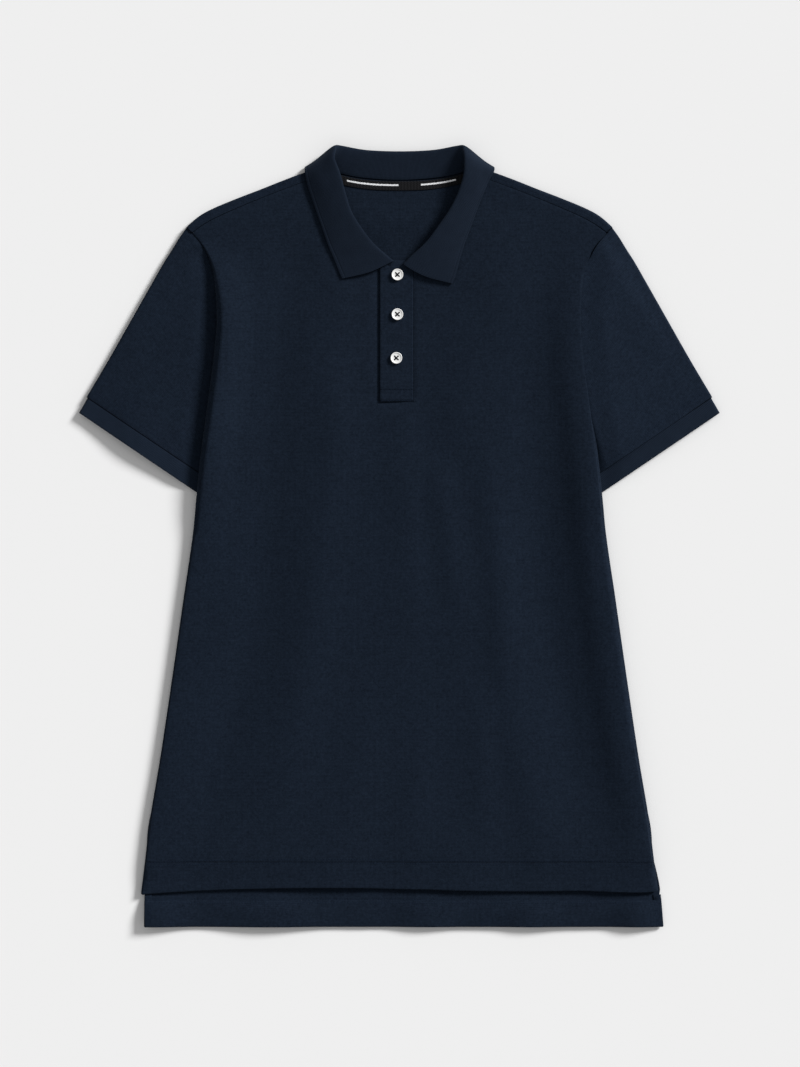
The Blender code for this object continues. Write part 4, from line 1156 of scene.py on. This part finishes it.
def pick_faces(piece, chosen):
    """Select the faces of a piece whose middle and normal pass a test, in edit mode."""
    bpy.ops.object.mode_set(mode="OBJECT")
    for part in (piece.data.vertices, piece.data.edges, piece.data.polygons):
        part.foreach_set("select", [False] * len(part))
    for face in piece.data.polygons:
        face.select = chosen(face.center, face.normal)
    bpy.ops.object.mode_set(mode="EDIT")
    bpy.ops.mesh.select_mode(type="FACE")


def turn_button():
    """One button at the origin, resting on its flat back."""
    radius, height, reach = BUTTON_DIAMETER / 2 * MM, BUTTON_HEIGHT * MM, HOLE_REACH * MM
    bpy.ops.object.select_all(action="DESELECT")
    bpy.ops.mesh.primitive_cylinder_add(
        vertices=48, radius=radius, depth=height, location=(0, 0, height / 2))
    bpy.ops.object.transform_apply(location=True, rotation=True, scale=True)
    button = bpy.context.object
    pick_faces(button, lambda centre, normal: normal.z > 0.9)
    for wide, rise in FACE_STEPS:
        bpy.ops.mesh.inset(thickness=wide * MM, depth=rise * MM)
    bpy.ops.object.mode_set(mode="OBJECT")
    rim = button.modifiers.new("rim", "BEVEL")
    rim.width = 0.38 * MM
    rim.segments = 3
    rim.limit_method = "ANGLE"
    rim.angle_limit = math.radians(35)
    bpy.ops.object.modifier_apply(modifier="rim")
    for quarter in range(4):
        angle = math.radians(45 + 90 * quarter)
        place = (reach * math.cos(angle), reach * math.sin(angle), height / 2)
        bpy.ops.object.select_all(action="DESELECT")
        bpy.ops.mesh.primitive_cylinder_add(
            vertices=16, radius=HOLE_DIAMETER / 2 * MM, depth=3 * height, location=place)
        drill = bpy.context.object
        bpy.context.view_layer.objects.active = button
        hole = button.modifiers.new("hole", "BOOLEAN")
        hole.operation = "DIFFERENCE"
        hole.solver = "EXACT"
        hole.object = drill
        bpy.ops.object.modifier_apply(modifier="hole")
        bpy.data.objects.remove(drill, do_unlink=True)
    bpy.ops.object.select_all(action="DESELECT")
    button.select_set(True)
    bpy.context.view_layer.objects.active = button
    bpy.ops.object.shade_smooth_by_angle(angle=math.radians(38))
    return button


def cross_stitch():
    """The crossed threads over a button's face, two each way, diving into its holes."""
    strands = []
    for angle in (45, 135):
        for offset in (-0.3 * MM, 0.3 * MM):
            turn = math.radians(angle)
            place = (-math.sin(turn) * offset, math.cos(turn) * offset,
                     (BUTTON_HEIGHT - STRAND_RADIUS) * MM)
            bpy.ops.object.select_all(action="DESELECT")
            bpy.ops.mesh.primitive_cylinder_add(
                vertices=10, radius=STRAND_RADIUS * MM, depth=2 * HOLE_REACH * MM, location=place,
                rotation=(0, math.pi / 2, turn))
            strand = bpy.context.object
            bpy.ops.object.transform_apply(location=True, rotation=True, scale=True)
            bpy.ops.object.mode_set(mode="EDIT")
            bpy.ops.mesh.select_all(action="SELECT")
            bpy.ops.mesh.subdivide(number_cuts=5)
            bpy.ops.object.mode_set(mode="OBJECT")
            for vertex in strand.data.vertices:
                out = math.hypot(vertex.co.x, vertex.co.y) / (HOLE_REACH * MM)
                dive = 0.75 * MM * max(0.0, out - 0.62) ** 1.3 * 3
                hump = (0.18 * MM if angle > 90 else 0.0) * max(0.0, 1 - out * 1.6)
                vertex.co.z -= dive - hump
            strands.append(strand)
    bpy.ops.object.select_all(action="DESELECT")
    for strand in strands:
        strand.select_set(True)
    bpy.context.view_layer.objects.active = strands[0]
    bpy.ops.object.join()
    bpy.ops.object.shade_smooth()
    return bpy.context.object


def settle(piece, name, finish, offset):
    """Copy a modelled piece to its place, with its own mesh, and give it its finish."""
    data = piece.data.copy()
    data.name = name
    for vertex in data.vertices:
        vertex.co += offset
    made = add_piece(name, data)
    data.materials.clear()
    data.materials.append(finish)
    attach(made, "root")
    return made


pattern_button = turn_button()
pattern_cross = cross_stitch()
for number in (1, 2, 3):
    low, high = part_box(f"button_{number}")
    seat = Vector(((low.x + high.x) / 2, (low.y + high.y) / 2, low.z))
    button = settle(pattern_button, f"shirt_button_{number}", button_finish, seat)
    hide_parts(f"button_{number}")
    cross = settle(pattern_cross, f"button_thread_{number}", painted_seam_shade_and_button_thread, seat)
for pattern in (pattern_button, pattern_cross):
    bpy.data.objects.remove(pattern, do_unlink=True)

# ---- A loop over the sides, which does nothing ----------------------------------------------
for side, _ in SIDES:
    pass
